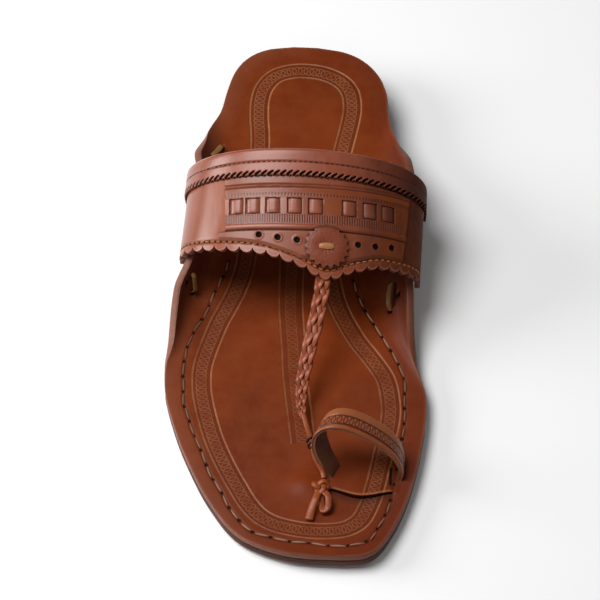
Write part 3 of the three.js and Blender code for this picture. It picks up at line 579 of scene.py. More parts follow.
def side_by_side(piece):
    """Flat points of a piece's vertices: their place across and their distance from the toe tip, in mm."""
    places = np.zeros(len(piece.data.vertices) * 3)
    piece.data.vertices.foreach_get("co", places)
    return places.reshape(-1, 3)[:, :2] / MM + [0, LENGTH / 2]


BORDER_CENTRE = (
    (-24.6, 187), (-24.9, 160), (-27.6, 145.8), (-31.9, 133.5), (-35, 125.2), (-37.6, 115.5), (-39.6, 107.2),
    (-40.9, 99), (-40.7, 90), (-39.4, 81.6), (-36.9, 71.5), (-33.9, 61.7), (-30.4, 52.9), (-26.7, 44.9),
    (-21.7, 35.4), (-16.8, 26.9), (-11.5, 20.6), (-5.4, 16.8), (2, 14.7), (10, 13.6), (19, 13.9), (26, 15.8),
    (31.4, 20.6), (34.6, 28.6), (36.5, 36), (38.1, 46), (40, 60), (42, 75), (41.6, 85.5), (39, 97.2),
    (32.8, 107.8), (24.7, 119.9), (16.4, 137.5), (12.4, 155), (11.4, 175), (12.6, 200), (14.9, 216),
    (18, 237), (18.2, 247), (16.4, 254.5), (12, 260.2), (5, 264), (-2.5, 265.4), (-10, 264.9),
    (-17.4, 261.6), (-22, 254.8), (-23.7, 246.6), (-23.6, 237), (-22.2, 216.6))
STRIP_CENTRE = (
    (5, 60.5), (3.1, 73), (0.2, 93), (-0.8, 101), (-1.7, 112), (-3.1, 124.7), (-4.2, 137), (-4.6, 150),
    (-4.8, 172))
SEAM = (
    (-33, 158), (-34, 152), (-36.5, 145.5), (-39.2, 137.6), (-41.2, 129.8), (-44.9, 121.3), (-47.6, 112.5),
    (-48.6, 104.6), (-48.9, 96.8), (-48.2, 88.6), (-47.7, 80), (-45.1, 72.2), (-42.8, 64.5), (-39.5, 56.9),
    (-36.4, 48.8), (-33.7, 41.4), (-28.7, 33.1), (-25.5, 26), (-20.7, 18.8), (-14.6, 12.1), (-6.1, 9.1),
    (2.1, 7.3), (11.2, 6.6), (19.9, 5.6), (28.5, 6.6), (35.6, 9.8), (39.8, 18.3), (42.6, 26), (44.4, 34.5),
    (46.2, 50), (47.8, 66.2), (48.3, 75.7), (47.9, 84.9), (47.8, 94.5), (46.2, 101.3), (42.9, 109.2),
    (39.2, 116.3), (35.1, 123.7), (31.6, 130.2), (27.9, 137), (24.7, 144.7), (22.6, 152))
SEAM_PITCH = 8.3
BORDER_HALF = 4.1
STRIP_HALF = 5.2
RING = {"radius": 2.2, "pitch": 2.65}

# Roller stamp: linked rings between two lines, from the place along the stamp and the distance off its centre
stamp_group, stamp_in, stamp_out = new_group(
    "roller_stamp", [("Along", "Float"), ("Off", "Float"), ("Half", "Float")],
    [("Lines", "Float"), ("Rings", "Float")])
stamp_off = abs(Value(stamp_group, stamp_in.outputs["Off"]))
in_pitch = Value(stamp_group, stamp_in.outputs["Along"]).sum("FLOORED_MODULO", RING["pitch"])
ring_masks = [abs((in_pitch - centre).hypot(stamp_off) - RING["radius"]).below(0.3, 0.26)
              for centre in (0.0, RING["pitch"])]
stamp_group.links.new(ring_masks[0].sum("MAXIMUM", ring_masks[1]).socket, stamp_out.inputs["Rings"])
line_mask = abs(stamp_off - Value(stamp_group, stamp_in.outputs["Half"])).below(0.42, 0.3)
stamp_group.links.new(line_mask.socket, stamp_out.inputs["Lines"])


def rolled(leather, attribute, half):
    """A stored path's place along and off on a leather, and the stamp's lines and rings there."""
    node = leather.tree.nodes.new("ShaderNodeGroup")
    node.node_tree = stamp_group
    node.inputs["Half"].default_value = half
    along, off = leather.number(attribute, "X"), leather.number(attribute, "Y")
    leather.tree.links.new(along.socket, node.inputs["Along"])
    leather.tree.links.new(off.socket, node.inputs["Off"])
    return along, off, Value(leather.tree, node.outputs["Lines"]), Value(leather.tree, node.outputs["Rings"])


def stamp(leather, attribute, half, length, line_colour, ring_colour, ground_colour, depth):
    """Rolls the stamp into a leather along a stored path: pale lines and rings on a darkened ground."""
    along, off, lines, rings = rolled(leather, attribute, half)
    on = along.above(0, 0.3) * along.below(length, 0.3)
    worn = leather.grain["Mottle"] * 0.6 + leather.number("from_toe").above(190, 60) * 0.2 + 0.2
    ground = abs(off).below(half, 0.5) * on
    lines = lines * on * worn
    rings = rings * ground * worn
    leather.paint(ground * 0.4, ground_colour)
    leather.paint(rings, ring_colour)
    leather.paint(lines, line_colour)
    leather.press(lines, depth)
    leather.press(ground * 0.5 - rings * 0.5, depth)


insole_at = np.sort(np.concatenate([LENGTH * bunched(330, 0.86), SLIT_ROW + np.array(SLIT_ROWS)]))
insole_part = np.concatenate([
    np.linspace(-1, -EAR_PART, 24, endpoint=False), np.linspace(-EAR_PART, EAR_PART, 62),
    np.linspace(EAR_PART, 1, 25)[1:]])
row_at, row_part = np.meshgrid(insole_at, insole_part, indexing="ij")
first_x = top_leather_under(row_at, row_part)[..., 0]
slit_here = smooth((first_x - 8) / 8) * smooth((52 - first_x) / 8)
slit_near = slit_here * smooth(1 - np.abs(row_at - SLIT_ROW) / 16)
warped_at = row_at + (follow(SLIT, "at", first_x) - SLIT_ROW) * slit_near
slit_open = smooth((first_x - 17.4) / 1.6) * smooth((44.6 - first_x) / 1.6)
lip_over = np.sin(math.pi * np.clip((first_x - 15) / 32, 0, 1)) ** 0.7
behind = row_at - SLIT_ROW
in_gap = (np.abs(behind) < SLIT_HALF) * slit_open
lip_raise = LIP["raise"] * lip_over * np.exp(-(np.maximum(behind, 0) / LIP["reach"]) ** 2) * (behind > 0)
swell_away = np.hypot(first_x - SWELL["x"], warped_at - SWELL["at"]) / SWELL["radius"]
insole_lift = (TOP_LEATHER + lip_raise * (1 - in_gap) - SLIT_DEEP * in_gap
               + SWELL["raise"] * np.exp(-swell_away**2))
over = top_leather(warped_at, row_part, insole_lift)
hole_away = np.full(row_at.shape, FAR_OFF)
for side, hole_at, hole_part in EAR_HOLES:
    hole_spot = top_leather(np.array(float(hole_at)), np.array(side * hole_part), np.array(TOP_LEATHER))
    hole_away = np.minimum(hole_away, np.linalg.norm(over - hole_spot, axis=-1))
hole_drop = EAR_HOLE["deep"] * smooth((EAR_HOLE["radius"] - hole_away) / 1.1)
over = over - top_leather_up(warped_at, row_part) * hole_drop[..., None]
under = top_leather_under(warped_at, row_part)

saddle = Leather("saddle_top", "#7b2f08", "#5c1f05", "#8c4412", 0.46, 0.04, 1000, 0.05)
# Painted shade: the top leather darker towards the toe and on its medial side, where less light falls.
saddle.paint(saddle.number("from_toe").below(38, 60) * 0.4, "#561d08")
saddle.paint(saddle.sideways().above(0.03, 0.03) * 0.25, "#561d08")
# Painted shade on the medial rim, and a painted highlight, paler, on the lateral rim, which faces the light.
saddle.paint(saddle.number("rim").below(6, 10) * saddle.sideways().above(0, 0.04) * 0.4, "#5a2212")
saddle.paint(saddle.number("rim").below(5, 8) * saddle.sideways().below(-0.01, 0.03) * 0.4, "#824a33")
saddle.paint(saddle.number("ear") * 0.6, "#4f2315")
saddle.paint(saddle.number("rim").below(0.7, 1.0) * 0.5, "#7d4530")
border_path = round_path(BORDER_CENTRE, 1.5, closed=True)
strip_path = round_path(STRIP_CENTRE, 1.5)
seam_path = round_path(SEAM, 1.2)


def path_length(path):
    return float(run_along(path)[-1])


stamp(saddle, "border", BORDER_HALF, path_length(border_path), "#a06844", "#8a5230", "#4f1c0a", 0.28)
stamp(saddle, "strip", STRIP_HALF, path_length(strip_path), "#955c38", "#804826", "#4f1c0a", 0.25)
seam_along, seam_off = saddle.number("seam", "X"), saddle.number("seam", "Y")
on_seam = seam_along.above(0, 0.5) * seam_along.below(path_length(seam_path), 0.5)
hole_round = seam_along.from_nearest(SEAM_PITCH).hypot(seam_off) + saddle.grain["Mottle"] * 0.9
seam_groove = abs(seam_off).below(0.8, 1.0) * on_seam
saddle.press(seam_groove, 0.25)
saddle.paint(seam_groove * 0.45, "#451a0c")
# Painted shade: the seam's awl holes and the ear holes painted black.
saddle.paint_hole_shade(hole_round.below(1.05, 0.4) * on_seam * 0.9, 0.9)
saddle.paint_hole_shade(saddle.number("ear_hole").below(1.15, 0.4), 0.6)
# Painted shadow: a black slot on the top leather beside the toe loop's medial foot.
foot_slot_shade = abs(saddle.sideways() - FOOT_SLOT_SHADE["x"] * MM).below(FOOT_SLOT_SHADE["half_wide"] * MM, 0.5 * MM)
saddle.paint_hole_shade(foot_slot_shade * saddle.number("from_toe").above(FOOT_SLOT_SHADE["start"], 1)
              * saddle.number("from_toe").below(FOOT_SLOT_SHADE["end"], 1), 0)
slit_behind, slit_there = saddle.number("slit", "X"), saddle.number("slit", "Y")
# Painted shadow on the toe side of the slit, in front of its raised lip.
saddle.paint(slit_behind.above(-3, 4) * slit_behind.below(0, 0.5) * slit_there * 0.6, "#2c1008")
saddle.paint(slit_behind.above(0.5, 0.3) * slit_behind.below(1.5, 0.8) * slit_there * 0.7, "#9a5c36")
# Painted shade: the slit's gap black.
saddle.paint_hole_shade(abs(slit_behind).below(0.4, 0.2) * slit_there, 0)
cut_edge = Leather("cut_edge", "#8a5544", "#6d4132", "#aa7260", 0.55, 0.1, 700, 0.08)
# Painted shade: the cut edge darker on the medial side, turned from the light.
cut_edge.paint(cut_edge.sideways().above(0.01, 0.05) * 0.7, "#592f20")
edge_fibres = noise(cut_edge.tree, cut_edge.position, 900, 4, 0.6, (0.3, 0.3, 1))
cut_edge.paint(edge_fibres.above(0.58, 0.1) * 0.4, "#5f372c")
cut_edge.press(edge_fibres.above(0.55, 0.2), 0.08)
cut_edge = cut_edge.close()
flesh_side = Leather("flesh_side", "#6d4334", "#54322a", "#815344", 0.72, 0.02, 600, 0.12).close()

insole = sheet("top_leather_sheet", over, under, 0.28, [saddle.close(), cut_edge, flesh_side])
flat_places = side_by_side(insole)
for name, path in (("border", border_path), ("strip", strip_path), ("seam", seam_path)):
    store(insole, name, beside(path, flat_places))
rim_path = np.concatenate([over[:, 0, :2], over[::-1, -1, :2]]) + [0, LENGTH / 2]
store(insole, "rim", np.abs(beside(rim_path, flat_places)[:, 1]))
store(insole, "from_toe", flat_places[:, 1])
ear_turned = smooth(2 * np.abs(row_part) - 1) * smooth(follow(PLAN, "rise", row_at) / 9)
store_on_face(insole, "ear", ear_turned)
store_on_face(insole, "ear_hole", hole_away, FAR_OFF)
store_on_face(insole, "slit", in_pairs(behind, slit_open), (FAR_OFF, 0, 0))
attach(insole, "root")
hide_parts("insole")


# Running stitch. A flat buff lace, sewn by hand through awl holes, in and out round the forefoot. It holds
# the top leather to the outsole.
def repeat_tree():
    """Geometry Nodes tree that lays a small pillow on every point, turned to its heading and its up."""
    tree = bpy.data.node_groups.new("sewn_repeat", "GeometryNodeTree")
    new = tree.interface.new_socket
    new("Geometry", in_out="INPUT", socket_type="NodeSocketGeometry")
    for label in ("Length", "Width", "Height", "Unevenness"):
        new(label, in_out="INPUT", socket_type="NodeSocketFloat")
    new("Seed", in_out="INPUT", socket_type="NodeSocketInt")
    new("Material", in_out="INPUT", socket_type="NodeSocketMaterial")
    new("Geometry", in_out="OUTPUT", socket_type="NodeSocketGeometry")
    node, link = tree.nodes.new, tree.links.new
    source, sink = node("NodeGroupInput"), node("NodeGroupOutput")
    pillow = node("GeometryNodeMeshUVSphere")
    pillow.inputs["Segments"].default_value = 12
    pillow.inputs["Rings"].default_value = 8
    pillow.inputs["Radius"].default_value = 0.5
    sizes, shaped = node("ShaderNodeCombineXYZ"), node("GeometryNodeTransform")
    for socket, label in zip(sizes.inputs, ("Length", "Width", "Height")):
        link(source.outputs[label], socket)
    link(pillow.outputs["Mesh"], shaped.inputs["Geometry"])
    link(sizes.outputs[0], shaped.inputs["Scale"])
    rotation = None
    for axis, pivot, label in (("X", "AUTO", "heading"), ("Z", "X", "up")):
        turn, named = node("FunctionNodeAlignRotationToVector"), node("GeometryNodeInputNamedAttribute")
        named.data_type = "FLOAT_VECTOR"
        named.inputs["Name"].default_value = label
        turn.axis, turn.pivot_axis = axis, pivot
        link(named.outputs["Attribute"], turn.inputs["Vector"])
        if rotation:
            link(rotation, turn.inputs["Rotation"])
        rotation = turn.outputs["Rotation"]
    uneven, low, high = node("FunctionNodeRandomValue"), node("ShaderNodeMath"), node("ShaderNodeMath")
    low.operation, high.operation = "SUBTRACT", "ADD"
    for side in (low, high):
        side.inputs[0].default_value = 1.0
        link(source.outputs["Unevenness"], side.inputs[1])
    link(low.outputs[0], uneven.inputs[2])
    link(high.outputs[0], uneven.inputs[3])
    link(source.outputs["Seed"], uneven.inputs["Seed"])
    laid = node("GeometryNodeInstanceOnPoints")
    link(source.outputs["Geometry"], laid.inputs["Points"])
    link(shaped.outputs[0], laid.inputs["Instance"])
    link(rotation, laid.inputs["Rotation"])
    link(uneven.outputs[1], laid.inputs["Scale"])
    real, finish = node("GeometryNodeRealizeInstances"), node("GeometryNodeSetMaterial")
    link(laid.outputs[0], real.inputs[0])
    link(real.outputs[0], finish.inputs["Geometry"])
    link(source.outputs["Material"], finish.inputs["Material"])
    link(finish.outputs[0], sink.inputs[0])
    return tree


sewn_repeat = repeat_tree()


def sewn(name, places, heading, up, length, width, height, unevenness, seed, material):
    """Piece made of small pillows laid on places, with their sizes in mm."""
    points = bpy.data.meshes.new(name)
    points.from_pydata((np.asarray(places) * MM).tolist(), [], [])
    piece = bpy.data.objects.new(name, points)
    bpy.context.scene.collection.objects.link(piece)
    store(piece, "heading", heading)
    store(piece, "up", up)
    modifier = piece.modifiers.new("repeat", "NODES")
    modifier.node_group = sewn_repeat
    wanted = {"Length": length * MM, "Width": width * MM, "Height": height * MM, "Unevenness": unevenness,
              "Seed": seed, "Material": material}
    for item in sewn_repeat.interface.items_tree:
        if item.in_out == "INPUT" and item.name in wanted:
            modifier[item.identifier] = wanted[item.name]
    shown = piece.evaluated_get(bpy.context.evaluated_depsgraph_get())
    made = bpy.data.meshes.new_from_object(shown)
    piece.modifiers.clear()
    piece.data = made
    made.polygons.foreach_set("use_smooth", np.ones(len(made.polygons), bool))
    return piece


buff_lace = Leather("buff_lace", "#8a6236", "#6c4826", "#ab8350", 0.6, 0.05, 1500, 0.05).close()
buff_thread = Leather("buff_thread", "#946c54", "#724e3a", "#b48e74", 0.65, 0.03, 2000, 0.06)
buff_thread.paint(abs(buff_thread.sideways()).above(0.04, 0.02) * 0.7, "#4f3422")
buff_thread = buff_thread.close()
UNDER_LOOP = {"x": 43.0, "start": 36.0, "end": 52.0}
by_hand = np.random.default_rng(11)
seam_run = run_along(seam_path)


def on_seam_at(run):
    """Places across and from the toe tip, at distances along the seam."""
    return np.interp(run, seam_run, seam_path[:, 0]), np.interp(run, seam_run, seam_path[:, 1])


stitch_run = np.arange(SEAM_PITCH / 2, seam_run[-1], SEAM_PITCH)
stitch_run = stitch_run + by_hand.uniform(-0.35, 0.35, len(stitch_run))
stitch_x, stitch_at = on_seam_at(stitch_run)
hidden = (stitch_x > UNDER_LOOP["x"]) & (stitch_at > UNDER_LOOP["start"]) & (stitch_at < UNDER_LOOP["end"])
stitch_run = stitch_run[~hidden]
stitch_x, stitch_at = on_seam_at(stitch_run)
ahead_x, ahead_at = np.subtract(on_seam_at(stitch_run + 1), on_seam_at(stitch_run - 1))
fold_side = np.where(stitch_x < 0, follow(PLAN, "fold_l", stitch_at), follow(PLAN, "fold_m", stitch_at))
rim_side = np.where(stitch_x < 0, follow(PLAN, "rim_l", stitch_at), follow(PLAN, "rim_m", stitch_at))
rise_side = follow(PLAN, "rise", stitch_at)
past_fold = np.clip((stitch_x - fold_side) / (rim_side - fold_side), 0, 1)
bend_side = 0.5 + 0.42 * np.minimum(1, rise_side / np.abs(rim_side - fold_side))
fold_t = np.clip((bend_side - np.sqrt(np.maximum(bend_side**2 - (2 * bend_side - 1) * past_fold, 0)))
                 / np.maximum(2 * bend_side - 1, 1e-3), 0, 1)
fold_t = np.where(2 * bend_side - 1 < 0.02, past_fold, fold_t)
stitch_up = foot_bed(stitch_at) + rise_side * fold_t**2
turned = by_hand.uniform(-0.07, 0.07, len(stitch_x))
stitches = sewn(
    "running_stitch", spot(stitch_x, stitch_at, stitch_up + 0.1),
    unit(np.column_stack([ahead_x - turned * ahead_at, ahead_at + turned * ahead_x, np.gradient(stitch_up)])),
    np.tile([0, 0, 1.0], (len(stitch_x), 1)),
    length=6.6, width=0.95, height=0.85, unevenness=0.08, seed=3, material=buff_thread)
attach(stitches, "root")


# Instep band. A 2.4 mm strap of reddish tan leather, shaped over the last while wet. Its scalloped toe edge
# runs to a V over the plait, and its corners go down outside the ears, to which they are laced.
INSTEP = columns(
    "along ridge_x half_l half_m drop end",
    (-14, 4, 58, 49, 26, 31),
    (0, 3, 57, 49.5, 28, 35),
    (24, 2, 54.6, 50.8, 32.5, 41.5),
    (50, 1, 52, 51.5, 37, 48),
)
RIDGE_TOE, RIDGE_HEEL = np.array([133.0, 46.0]), np.array([174.0, 67.0])
LEAN = math.radians(22)
ARCH_POWER = 2.15
BAND_WALL = 2.4
BAND_EDGES = columns(
    "across toe heel",
    (-1, 5, 46), (-0.75, 4.6, 46), (-0.5, 3, 46.6), (-0.25, 0.6, 47), (-0.06, -4, 47), (0.13, -10, 46.6),
    (0.3, -6, 46), (0.5, -2.6, 45), (0.75, -2.4, 43.2), (1, -2.4, 42))
SCALLOPS = {"count": 26, "depth": 2.4, "fullness": 0.6, "steps": 14}

ARCH_ROWS = 67
ARCH_STEPS = 400
WALL_LEAN = 0.02
arch_along = np.linspace(-16, 50, ARCH_ROWS)
arch_across = np.linspace(-1, 1, 2 * ARCH_STEPS + 1)


def arch_table():
    """Place out and depth round the band's section, for each place along and across, and its sides' lengths."""
    out, depth = np.zeros((2, ARCH_ROWS, len(arch_across)))
    lengths = {}
    angle = np.linspace(0, math.pi / 2, 500)
    drop, end = follow(INSTEP, "drop", arch_along), follow(INSTEP, "end", arch_along)
    for side, column in ((-1, "half_l"), (1, "half_m")):
        half = follow(INSTEP, column, arch_along)
        here = arch_across * side >= 0
        lengths[side] = np.zeros(ARCH_ROWS)
        for i in range(ARCH_ROWS):
            wall_end = half[i] - WALL_LEAN * (end[i] - drop[i])
            o = np.append(half[i] * np.sin(angle) ** (2 / ARCH_POWER), wall_end)
            d = np.append(drop[i] * (1 - np.cos(angle) ** (2 / ARCH_POWER)), end[i])
            run = np.concatenate([[0], np.cumsum(np.hypot(np.diff(o), np.diff(d)))])
            lengths[side][i] = run[-1]
            wanted = np.abs(arch_across[here]) * run[-1]
            out[i, here] = side * np.interp(wanted, run, o)
            depth[i, here] = np.interp(wanted, run, d)
    return out, depth, lengths


arch_out, arch_depth, arch_lengths = arch_table()


def band_face(across, along):
    """Outer face of the bare band: across is -1 to 1 round the section, along is in mm up the ridge."""
    across, along = np.broadcast_arrays(np.asarray(across, float), np.asarray(along, float))
    i = np.clip(along - arch_along[0], 0, ARCH_ROWS - 1.001)
    j = np.clip((across + 1) * ARCH_STEPS, 0, 2 * ARCH_STEPS - 0.001)
    i0, j0 = i.astype(int), j.astype(int)
    u, v = i - i0, j - j0

    def mixed(table):
        return ((table[i0, j0] * (1 - v) + table[i0, j0 + 1] * v) * (1 - u)
                + (table[i0 + 1, j0] * (1 - v) + table[i0 + 1, j0 + 1] * v) * u)

    depth = mixed(arch_depth)
    part = along / np.hypot(*(RIDGE_HEEL - RIDGE_TOE))
    ridge = RIDGE_TOE + (RIDGE_HEEL - RIDGE_TOE) * part[..., None]
    return spot(follow(INSTEP, "ridge_x", along) + mixed(arch_out),
                ridge[..., 0] + depth * math.sin(LEAN), ridge[..., 1] - depth * math.cos(LEAN))


def band_up(across, along):
    inner = np.clip(across, -0.99, 0.99)
    return unit(np.cross(band_face(inner + 0.01, along) - band_face(inner - 0.01, along),
                         band_face(inner, along + 0.5) - band_face(inner, along - 0.5)))


def on_band(across, along, lift):
    return band_face(across, along) + band_up(across, along) * np.asarray(lift, float)[..., None]


def part_across(around, along):
    """Place across from a distance round the band from its ridge, in mm."""
    size = np.where(around < 0, np.interp(along, arch_along, arch_lengths[-1]),
                    np.interp(along, arch_along, arch_lengths[1]))
    return np.asarray(around) / size


def toe_edge(across):
    return follow(BAND_EDGES, "toe", across)


def heel_edge(across):
    return follow(BAND_EDGES, "heel", across)


def band_leather(name, **change):
    """Burnished tan of the band: pinkish where it is polished, orange-brown in its hollows. Its medial side has
    painted shade, in patches that are partly real stains, and all over its far end.
    """
    look = {"base": "#8c452d", "dark": "#783819", "light": "#a05c45", "roughness": 0.36, "coat": 0.75,
            "pores": 1100, "depth": 0.035}
    skin = Leather(name, **{**look, **change})
    aside = skin.sideways()
    skin.coat = aside.below(-0.005, 0.08) * skin.coat
    stains_and_shade = noise(skin.tree, skin.position, 110, 5, 0.6, (1, 0.4, 0.4)).above(0.5, 0.25)
    # Painted shade on the medial side, in patches that are partly real stains.
    skin.paint(stains_and_shade * aside.above(0.02, 0.03) * 0.5, "#3f1d10")
    # Painted shade: the medial end, turned from the light, painted nearly black and dulled.
    skin.paint(aside.above(0.034, 0.03) * 0.9, "#3a1508")
    skin.rub(aside.above(0.034, 0.03), 0.5)
    return skin


def streaks_on(skin):
    """Streaks of tone that run across a leather of the band."""
    return noise(skin.tree, skin.position, 240, 4, 0.6, (1, 0.25, 0.25)).above(0.5, 0.3)


def line_on_band(start, end, along_of, lift):
    """Places across between two ends, and how far a line on the band has run at each."""
    t = np.linspace(start, end, 1200)
    return t, run_along(on_band(t, along_of(t), lift))


TOE_STITCHES = {"in": 4.1, "reach": 0.97, "pitch": 2.85, "hole": 0.45}


def stitched_along(across):
    return toe_edge(across) + TOE_STITCHES["in"]


band_t = np.linspace(0, 1, SCALLOPS["count"] * SCALLOPS["steps"] + 1)
band_w = np.concatenate([np.linspace(0, 0.13, 22), np.linspace(0.13, 1, 36)[1:]])
band_across = (2 * band_t - 1)[None, :].repeat(len(band_w), 0)
scallop_wave = np.abs(np.sin(math.pi * SCALLOPS["count"] * band_t))
scallop = SCALLOPS["depth"] * (1 - scallop_wave ** SCALLOPS["fullness"])
band_toe = (toe_edge(2 * band_t - 1) + scallop)[None, :]
band_along = band_toe + (heel_edge(band_across) - band_toe) * band_w[:, None]
from_toe = band_along - toe_edge(band_across)
groove = np.exp(-((from_toe - TOE_STITCHES["in"]) / 0.8) ** 2)
line_across, line_run = line_on_band(-TOE_STITCHES["reach"], TOE_STITCHES["reach"], stitched_along, 0)
band_skin = band_leather("band_tan")
band_far = band_skin.number("across")
streaks = streaks_on(band_skin)
stained = band_far.above(-0.56, 0.12) * band_far.below(-0.43, 0.04) * (streaks * 0.6 + 0.2)
band_skin.paint(stained, "#8a4015")
band_skin.rub(stained, 0.3)
band_skin.coat = stained.rest() * band_skin.coat
# Painted shade towards the medial end, in darker orange-brown streaks.
band_skin.paint(band_far.above(0.6, 0.14) * (streaks * 0.6 + 0.1), "#6e2f0c")
row_along, row_off = band_skin.number("stitches", "X"), band_skin.number("stitches", "Y")
dots = row_along.from_nearest(TOE_STITCHES["pitch"]).hypot(row_off).below(TOE_STITCHES["hole"], 0.25)
band_skin.paint(abs(row_off).below(0.9, 0.5) * 0.8, "#6f3313")
# Painted shade: the stitch holes painted black.
band_skin.paint_hole_shade(dots, 0.3)
band_skin.paint(band_skin.number("from_edge").below(0.5, 0.7) * 0.45, "#a3654f")
band_inside = Leather("band_inside", "#5f3524", "#482518", "#74452f", 0.6, 0.05, 700, 0.1).close()
band = sheet("instep_band", on_band(band_across, band_along, -0.4 * groove),
             on_band(band_across, band_along, -BAND_WALL), 0.2, [band_skin.close(), cut_edge, band_inside])
stitch_places = in_pairs(np.interp(band_across, line_across, line_run), from_toe - TOE_STITCHES["in"])
store_on_face(band, "stitches", stitch_places, FAR_OFF)
store_on_face(band, "from_edge", band_along - band_toe)
store_on_face(band, "across", band_across)
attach(band, "root")
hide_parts("upper")


# Edge stitching of the band. Short stitches of a tan waxed thread run along the scallops, and of a dark one
# along the middle of the heel binding.
BINDING_STITCHES = {"in": 5.2, "reach": 0.96, "pitch": 2.3}


def band_row(start, end, along_of, pitch, lift):
    """Places, headings and ups for stitches in a row on the band."""
    t, run = line_on_band(start, end, along_of, lift)
    across = np.interp(np.arange(pitch / 2, run[-1], pitch), run, t)
    places = on_band(across, along_of(across), lift)
    heading = unit(on_band(across + 0.004, along_of(across + 0.004), lift) - places)
    return places, heading, band_up(across, along_of(across))


def bound_along(across):
    return heel_edge(across) - BINDING_STITCHES["in"]


dark_thread = Leather("dark_thread", "#2c130b", "#190a06", "#5a3020", 0.5, 0.1, 2000, 0.03).close()
tan_thread = Leather("tan_thread", "#a9642f", "#87481d", "#c98a52", 0.5, 0.1, 2000, 0.03).close()
toe_stitches = sewn(
    "toe_edge_stitches",
    *band_row(-TOE_STITCHES["reach"], TOE_STITCHES["reach"], stitched_along, TOE_STITCHES["pitch"], -0.22),
    length=2.0, width=0.75, height=0.6, unevenness=0.08, seed=5, material=tan_thread)
binding_stitches = sewn(
    "binding_stitches", *band_row(-BINDING_STITCHES["reach"], BINDING_STITCHES["reach"], bound_along,
                                  BINDING_STITCHES["pitch"], 1.16),
    length=1.5, width=0.6, height=0.4, unevenness=0.25, seed=6, material=dark_thread)
for piece in (toe_stitches, binding_stitches):
    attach(piece, "root")


# Heel binding. A strip of the band's leather folded over its heel edge and stitched along the middle.
# Its front border is pinked: cut in small slanting teeth, whose notches are painted black as shadow.
BINDING = {"reach": 0.985, "wide": 11.0, "thick": 1.1, "teeth": 57, "tooth": 0.7, "steps": 10}
PINK = {"pitch": 2.8, "centre": 0.85, "half_tall": 0.95, "half_wide": 0.8, "slant": 1.25, "deep": 0.85}
BINDING_PATH = columns(
    "part back lift",
    (0, 0, 1.15), (0.03, 0.3, 1.36), (0.08, 0.9, 1.42), (0.2, 3, 1.42), (0.34, 5.1, 1.4), (0.38, 5.8, 1.12),
    (0.42, 6.5, 1.4), (0.56, 9, 1.42), (0.64, 10.6, 1.32), (0.7, 11.7, 0.7), (0.75, 12.2, -0.9),
    (0.8, 11.9, -2.4), (0.86, 10.8, -3.5), (1, 3.5, -3.7))
STITCH_VALLEY = {"part": 0.38, "half": 0.02}
binding_t = np.linspace(0, 1, BINDING["teeth"] * BINDING["steps"] + 1)
binding_part = np.linspace(0, 1, 64)
binding_across = (BINDING["reach"] * (2 * binding_t - 1))[None, :].repeat(len(binding_part), 0)
saw = (binding_t * BINDING["teeth"]) % 1
tooth = BINDING["tooth"] * np.where(saw < 0.72, saw / 0.72, (1 - saw) / 0.28)
from_front = follow(BINDING_PATH, "back", binding_part)[:, None]
back = from_front - tooth[None, :] * smooth(1 - binding_part / 0.06)[:, None]
rise = follow(BINDING_PATH, "lift", binding_part)[:, None].repeat(len(binding_t), 1)
slope_back, slope_lift = np.gradient(back, axis=0), np.gradient(rise, axis=0)
slope = np.hypot(slope_back, slope_lift)
binding_along = heel_edge(binding_across) - BINDING["wide"] + back
inner_along = binding_along + BINDING["thick"] * slope_lift / slope
inner_lift = rise - BINDING["thick"] * slope_back / slope
leaf_phase = (binding_t * BINDING["teeth"])[None, :] - PINK["slant"] * from_front / PINK["pitch"]
leaf_side = np.abs(leaf_phase % 1 - 0.5) * PINK["pitch"]
leaf_up = (from_front - PINK["centre"]) / PINK["half_tall"]
leaf_half = PINK["half_wide"] * np.sqrt(np.clip(1 - leaf_up**2, 0, 1))
leaf = smooth((leaf_half - leaf_side) / 0.35 + 0.5) * (leaf_half > 0.05) * (binding_part < 0.4)[:, None]


def past_edge(across, along, lift):
    """Place on the band, running on straight past its heel edge."""
    edge = np.minimum(along, heel_edge(across))
    ahead = unit(band_face(across, edge + 0.5) - band_face(across, edge - 0.5))
    return on_band(across, edge, lift) + ahead * (along - edge)[..., None]


binding_skin = band_leather("binding_tan", base="#904a36", dark="#7c3b22", light="#a76552", roughness=0.33)
# Painted shade: the binding darker towards its medial end.
binding_skin.paint(binding_skin.number("across").above(0.7, 0.2) * 0.6, "#5a2511")
binding_skin.paint(binding_skin.number("stitch_line") * 0.7, "#552619")
# Painted shadow: the pinked notches painted black.
binding_skin.paint_hole_shade(binding_skin.number("notch").above(0.35, 0.3), 0)
binding = sheet("heel_binding", past_edge(binding_across, binding_along, rise - PINK["deep"] * leaf),
                past_edge(binding_across, inner_along, inner_lift), 0.08,
                [binding_skin.close(), cut_edge, cut_edge])
near_stitches = np.exp(-((binding_part - STITCH_VALLEY["part"]) / STITCH_VALLEY["half"]) ** 2)
store_on_face(binding, "notch", leaf)
store_on_face(binding, "stitch_line", near_stitches[:, None].repeat(len(binding_t), 1))
store_on_face(binding, "across", binding_across)
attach(binding, "root")
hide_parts("edge_binding")


